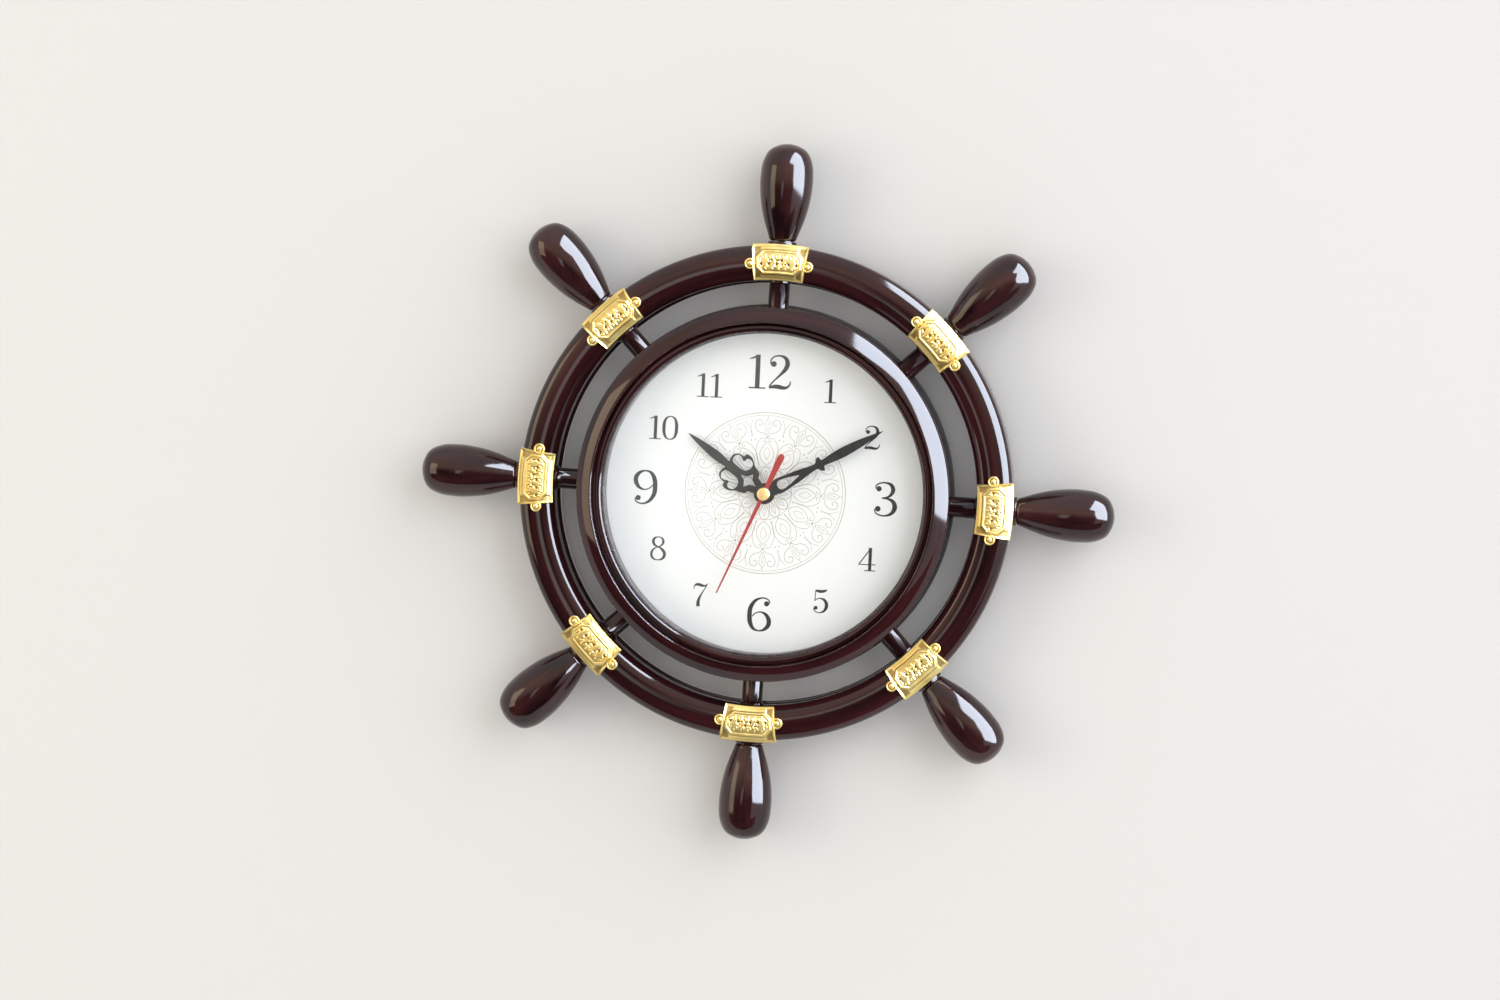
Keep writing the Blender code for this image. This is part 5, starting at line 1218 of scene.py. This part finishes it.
def plain_material(name, colour, both_sides=True):
    """A plain pale backdrop finish. One-sided, it is seen through from behind and lets light reach the back."""
    made, net, shader = new_material(name)
    net.feed(shader, {"Base Color": colour, "Roughness": 0.9, "Specular IOR Level": 0.0})
    if not both_sides:
        path = net.add("ShaderNodeLightPath").node.outputs
        near = net.times(net.math("LESS_THAN", path["Ray Length"], NEAR),
                         net.math("SUBTRACT", 1.0, path["Is Camera Ray"]))
        behind = net.add("ShaderNodeNewGeometry", output="Backfacing")
        net.let_through(shader, net.math("MAXIMUM", behind, net.math("MAXIMUM", path["Is Shadow Ray"], near)))
    return made


def room_card():
    """The brown side of the room that the gloss looks at: lighter above, dark below and at the camera, and pale
    to the camera's left."""
    made, net, shader = new_material("Dim brown room")
    across, _, height = net.axes()
    slant = net.math("SUBTRACT", across, net.times(height, 0.35))
    near = net.ramp(across, 0.07, 0.0)
    for value, low, high in ((across, -0.46, -0.38), (height, -0.36, -0.28), (height, 0.16, 0.08)):
        near = net.times(near, net.ramp(value, low, high))
    patch = net.mix(net.ramp(slant, -0.200, -0.135), (1.70, 1.72, 1.58), (0.03, 0.026, 0.024))
    room = net.mix(net.ramp(height, -0.15, 0.45), (0.05, 0.038, 0.036), (1.05, 0.80, 0.64))
    net.feed(shader, {"Base Color": (0.0, 0.0, 0.0), "Specular IOR Level": 0.0, "Emission Strength": 1.0,
                      "Emission Color": net.mix(near, room, patch)})
    return made


def plane(name, low, high, material):
    """A rectangle between two corners, upright across x or flat."""
    (x0, y0, z0), (x1, y1, z1) = low, high
    mesh = bpy.data.meshes.new(name)
    mesh.from_pydata([(x0, y0, z0), (x1, y0, z0), (x1, y1, z1), (x0, y1, z1)], [], [(0, 1, 2, 3)])
    mesh.materials.append(material)
    obj = show(name, mesh)
    return obj


def soft_light(name, place, target, size, power, colour):
    """A rectangular soft light aimed at a point."""
    lamp = bpy.data.lights.new(name, "AREA")
    lamp.shape, lamp.size, lamp.size_y = "RECTANGLE", *size
    lamp.energy, lamp.color = power, colour
    obj = show(name, lamp)
    obj.location = place
    obj.rotation_euler = (Vector(target) - Vector(place)).to_track_quat("-Z", "Y").to_euler()
    obj.visible_camera = False
    return obj


def build_backdrop(colour):
    """Wall and floor, and the cards that only the gloss sees."""
    back, reach, depth, drop = GAP, 1.1, 1.0, AXIS_Z - 1.1
    wall = plain_material("Pale wall", colour, False)
    plane("wall", (-reach, back, drop), (reach, back, drop + 2 * reach), wall)
    floor = plane("floor", (-reach, back - depth, drop), (reach, back, drop), plain_material("Pale floor", colour))
    floor.visible_glossy = False
    brown = room_card()
    for part, left, right, top, foot in ROOM_CARDS:
        card = plane("room_" + part, (left, ROOM_Y, AXIS_Z + foot), (right, ROOM_Y, AXIS_Z + top), brown)
        card.visible_camera = card.visible_diffuse = card.visible_shadow = card.visible_transmission = False


def build_lamps(power):
    """A large window at the upper right, its stronger look in the gloss, a warm fill and a light behind."""
    centre, beside = (0.0, 0.0, AXIS_Z), (0.0, ROOM_Y, AXIS_Z)
    window = Vector((1.90, ROOM_Y, AXIS_Z + 1.10))
    soft_light("Window", window, beside, (3.4, 3.4), 72.0 * power, (0.96, 0.98, 1.0))
    sheen = soft_light("Window sheen", window * 1.001, beside, (3.4, 3.4), 640.0 * power, (0.76, 0.84, 1.0))
    sheen.visible_diffuse = False
    soft_light("Left fill", (-1.9, -1.3, AXIS_Z + 0.1), centre, (0.9, 1.6), 13.0 * power, (1.0, 0.84, 0.58))
    rear = soft_light("Rear", (0.5, 1.6, AXIS_Z + 0.8), centre, (1.6, 1.6), 16.0 * power, (1.0, 1.0, 1.0))
    rear.visible_glossy = False


def build_surround(scene, strength):
    """Pale to the eye and in the gloss, and a weaker even light on the rest."""
    scene.world = bpy.data.worlds.new("Studio")
    scene.world.use_nodes = True
    net = Net(scene.world.node_tree)
    path = net.add("ShaderNodeLightPath").node.outputs
    direct = net.math("MAXIMUM", path["Is Camera Ray"], path["Is Transmission Ray"])
    direct = net.math("MAXIMUM", direct, path["Is Glossy Ray"])
    seen = net.add("ShaderNodeMapRange", {"Value": direct, "To Min": strength, "To Max": 0.95})
    net.feed(net.tree.nodes["Background"], {"Color": (0.94, 0.94, 0.94), "Strength": seen})


def build_camera(scene, setup):
    """The photograph's view: level but for a small roll, a little from above and from the right."""
    lens = bpy.data.cameras.new("Camera")
    lens.sensor_width = 36.0
    lens.lens = lens.sensor_width * setup.distance / FRAME_WIDTH
    lens.clip_start = 0.05
    scene.camera = show("Camera", lens)
    roll, rise, yaw = radians(setup.roll), radians(setup.rise), radians(setup.yaw)
    forward = Vector((-sin(yaw) * cos(rise), cos(yaw) * cos(rise), -sin(rise)))
    right = Vector((cos(roll), 0.0, sin(roll)))
    right = (right - forward * right.dot(forward)).normalized()
    up = right.cross(forward).normalized()
    aim = Vector((0.0, -SPOKE_D, AXIS_Z)) - right * setup.right - up * setup.up
    axes = Matrix((right, up, -forward)).transposed().to_4x4()
    scene.camera.matrix_world = Matrix.Translation(aim - forward * setup.distance) @ axes


class WHEELCLOCK_OT_stage(bpy.types.Operator):
    """Pale wall and floor, soft studio light and the camera"""
    bl_idname = "wheelclock.stage"
    bl_label = "Stage, light and camera"

    def execute(self, context):
        setup = context.scene.wheel_clock_stage
        build_backdrop(tuple(setup.wall))
        build_lamps(setup.light)
        build_surround(context.scene, setup.surround)
        build_camera(context.scene, setup)
        context.scene.view_settings.view_transform = "Standard"
        return {"FINISHED"}


# Settings, panel and run

class WheelClockLook(bpy.types.PropertyGroup):
    """Colours and small sizes of the clock's face and shell"""
    lacquer_dark: FloatVectorProperty(
        name="Lacquer, dark", description="Deep tone of the maroon lacquer", subtype="COLOR", size=3,
        default=(0.0110, 0.0026, 0.0034))
    lacquer_warm: FloatVectorProperty(
        name="Lacquer, warm", description="Redder tone that shows in streaks", subtype="COLOR", size=3,
        default=(0.038, 0.0080, 0.0096))
    gold: FloatVectorProperty(
        name="Gold", description="Plated colour of the rim plates", subtype="COLOR", size=3,
        default=(0.90, 0.73, 0.29))
    large_numeral: FloatProperty(
        name="Large numerals", description="Height of 12, 3, 6 and 9", default=0.0174, unit="LENGTH")
    small_numeral: FloatProperty(
        name="Small numerals", description="Height of the other numerals", default=0.0121, unit="LENGTH")
    dial_turn: FloatProperty(
        name="Dial print", description="Degrees clockwise that the printed card sits from true", default=-1.3)
    hour_angle: FloatProperty(
        name="Hour hand", description="Degrees clockwise from twelve at rest", default=304.3)
    minute_angle: FloatProperty(
        name="Minute hand", description="Degrees clockwise from twelve at rest", default=58.3)
    second_angle: FloatProperty(
        name="Second hand", description="Degrees clockwise from twelve at rest", default=201.8)


class WheelClockStage(bpy.types.PropertyGroup):
    """Backdrop, light and camera"""
    wall: FloatVectorProperty(
        name="Wall", description="Colour of the wall and floor", subtype="COLOR", size=3,
        default=(0.72, 0.71, 0.70))
    light: FloatProperty(
        name="Light", description="Strength of all lamps together", default=1.0, min=0.0)
    surround: FloatProperty(
        name="Surround", description="Strength of the even light from all round", default=0.85, min=0.0)
    distance: FloatProperty(
        name="Distance", description="From the camera to the wheel's plane", default=2.50, unit="LENGTH")
    roll: FloatProperty(
        name="Roll", description="Degrees that the clock leans clockwise in the frame", default=4.2)
    rise: FloatProperty(name="Rise", description="Degrees that the camera looks down", default=3.6)
    yaw: FloatProperty(name="Yaw", description="Degrees that the camera looks from the right", default=6.5)
    right: FloatProperty(
        name="Right", description="The clock's place right of the frame's middle", default=0.00804, unit="LENGTH")
    up: FloatProperty(
        name="Up", description="The clock's place above the frame's middle", default=0.0036, unit="LENGTH")


STEPS = (
    WHEELCLOCK_OT_rim, WHEELCLOCK_OT_handles, WHEELCLOCK_OT_spokes, WHEELCLOCK_OT_plates, WHEELCLOCK_OT_bezel,
    WHEELCLOCK_OT_glass, WHEELCLOCK_OT_dial, WHEELCLOCK_OT_numerals, WHEELCLOCK_OT_medallion,
    WHEELCLOCK_OT_hands, WHEELCLOCK_OT_rear_case, WHEELCLOCK_OT_movement, WHEELCLOCK_OT_stage,
)


class WHEELCLOCK_PT_panel(bpy.types.Panel):
    """Settings and one button for each piece"""
    bl_idname = "WHEELCLOCK_PT_panel"
    bl_label = "Ship wheel clock"
    bl_space_type = "VIEW_3D"
    bl_region_type = "UI"
    bl_category = "Wheel Clock"

    def draw(self, context):
        for group in (context.scene.wheel_clock_look, context.scene.wheel_clock_stage):
            box = self.layout.box()
            for name in group.__annotations__:
                box.prop(group, name)
        for step in STEPS:
            self.layout.operator(step.bl_idname)


CLASSES = (WheelClockLook, WheelClockStage) + STEPS + (WHEELCLOCK_PT_panel,)


def register():
    for cls in CLASSES:
        bpy.utils.register_class(cls)
    bpy.types.Scene.wheel_clock_look = PointerProperty(type=WheelClockLook)
    bpy.types.Scene.wheel_clock_stage = PointerProperty(type=WheelClockStage)


def unregister():
    del bpy.types.Scene.wheel_clock_look
    del bpy.types.Scene.wheel_clock_stage
    for cls in reversed(CLASSES):
        bpy.utils.unregister_class(cls)


def main():
    register()
    for step in STEPS:
        getattr(bpy.ops.wheelclock, step.bl_idname.split(".")[1])()


if __name__ == "__main__":
    main()
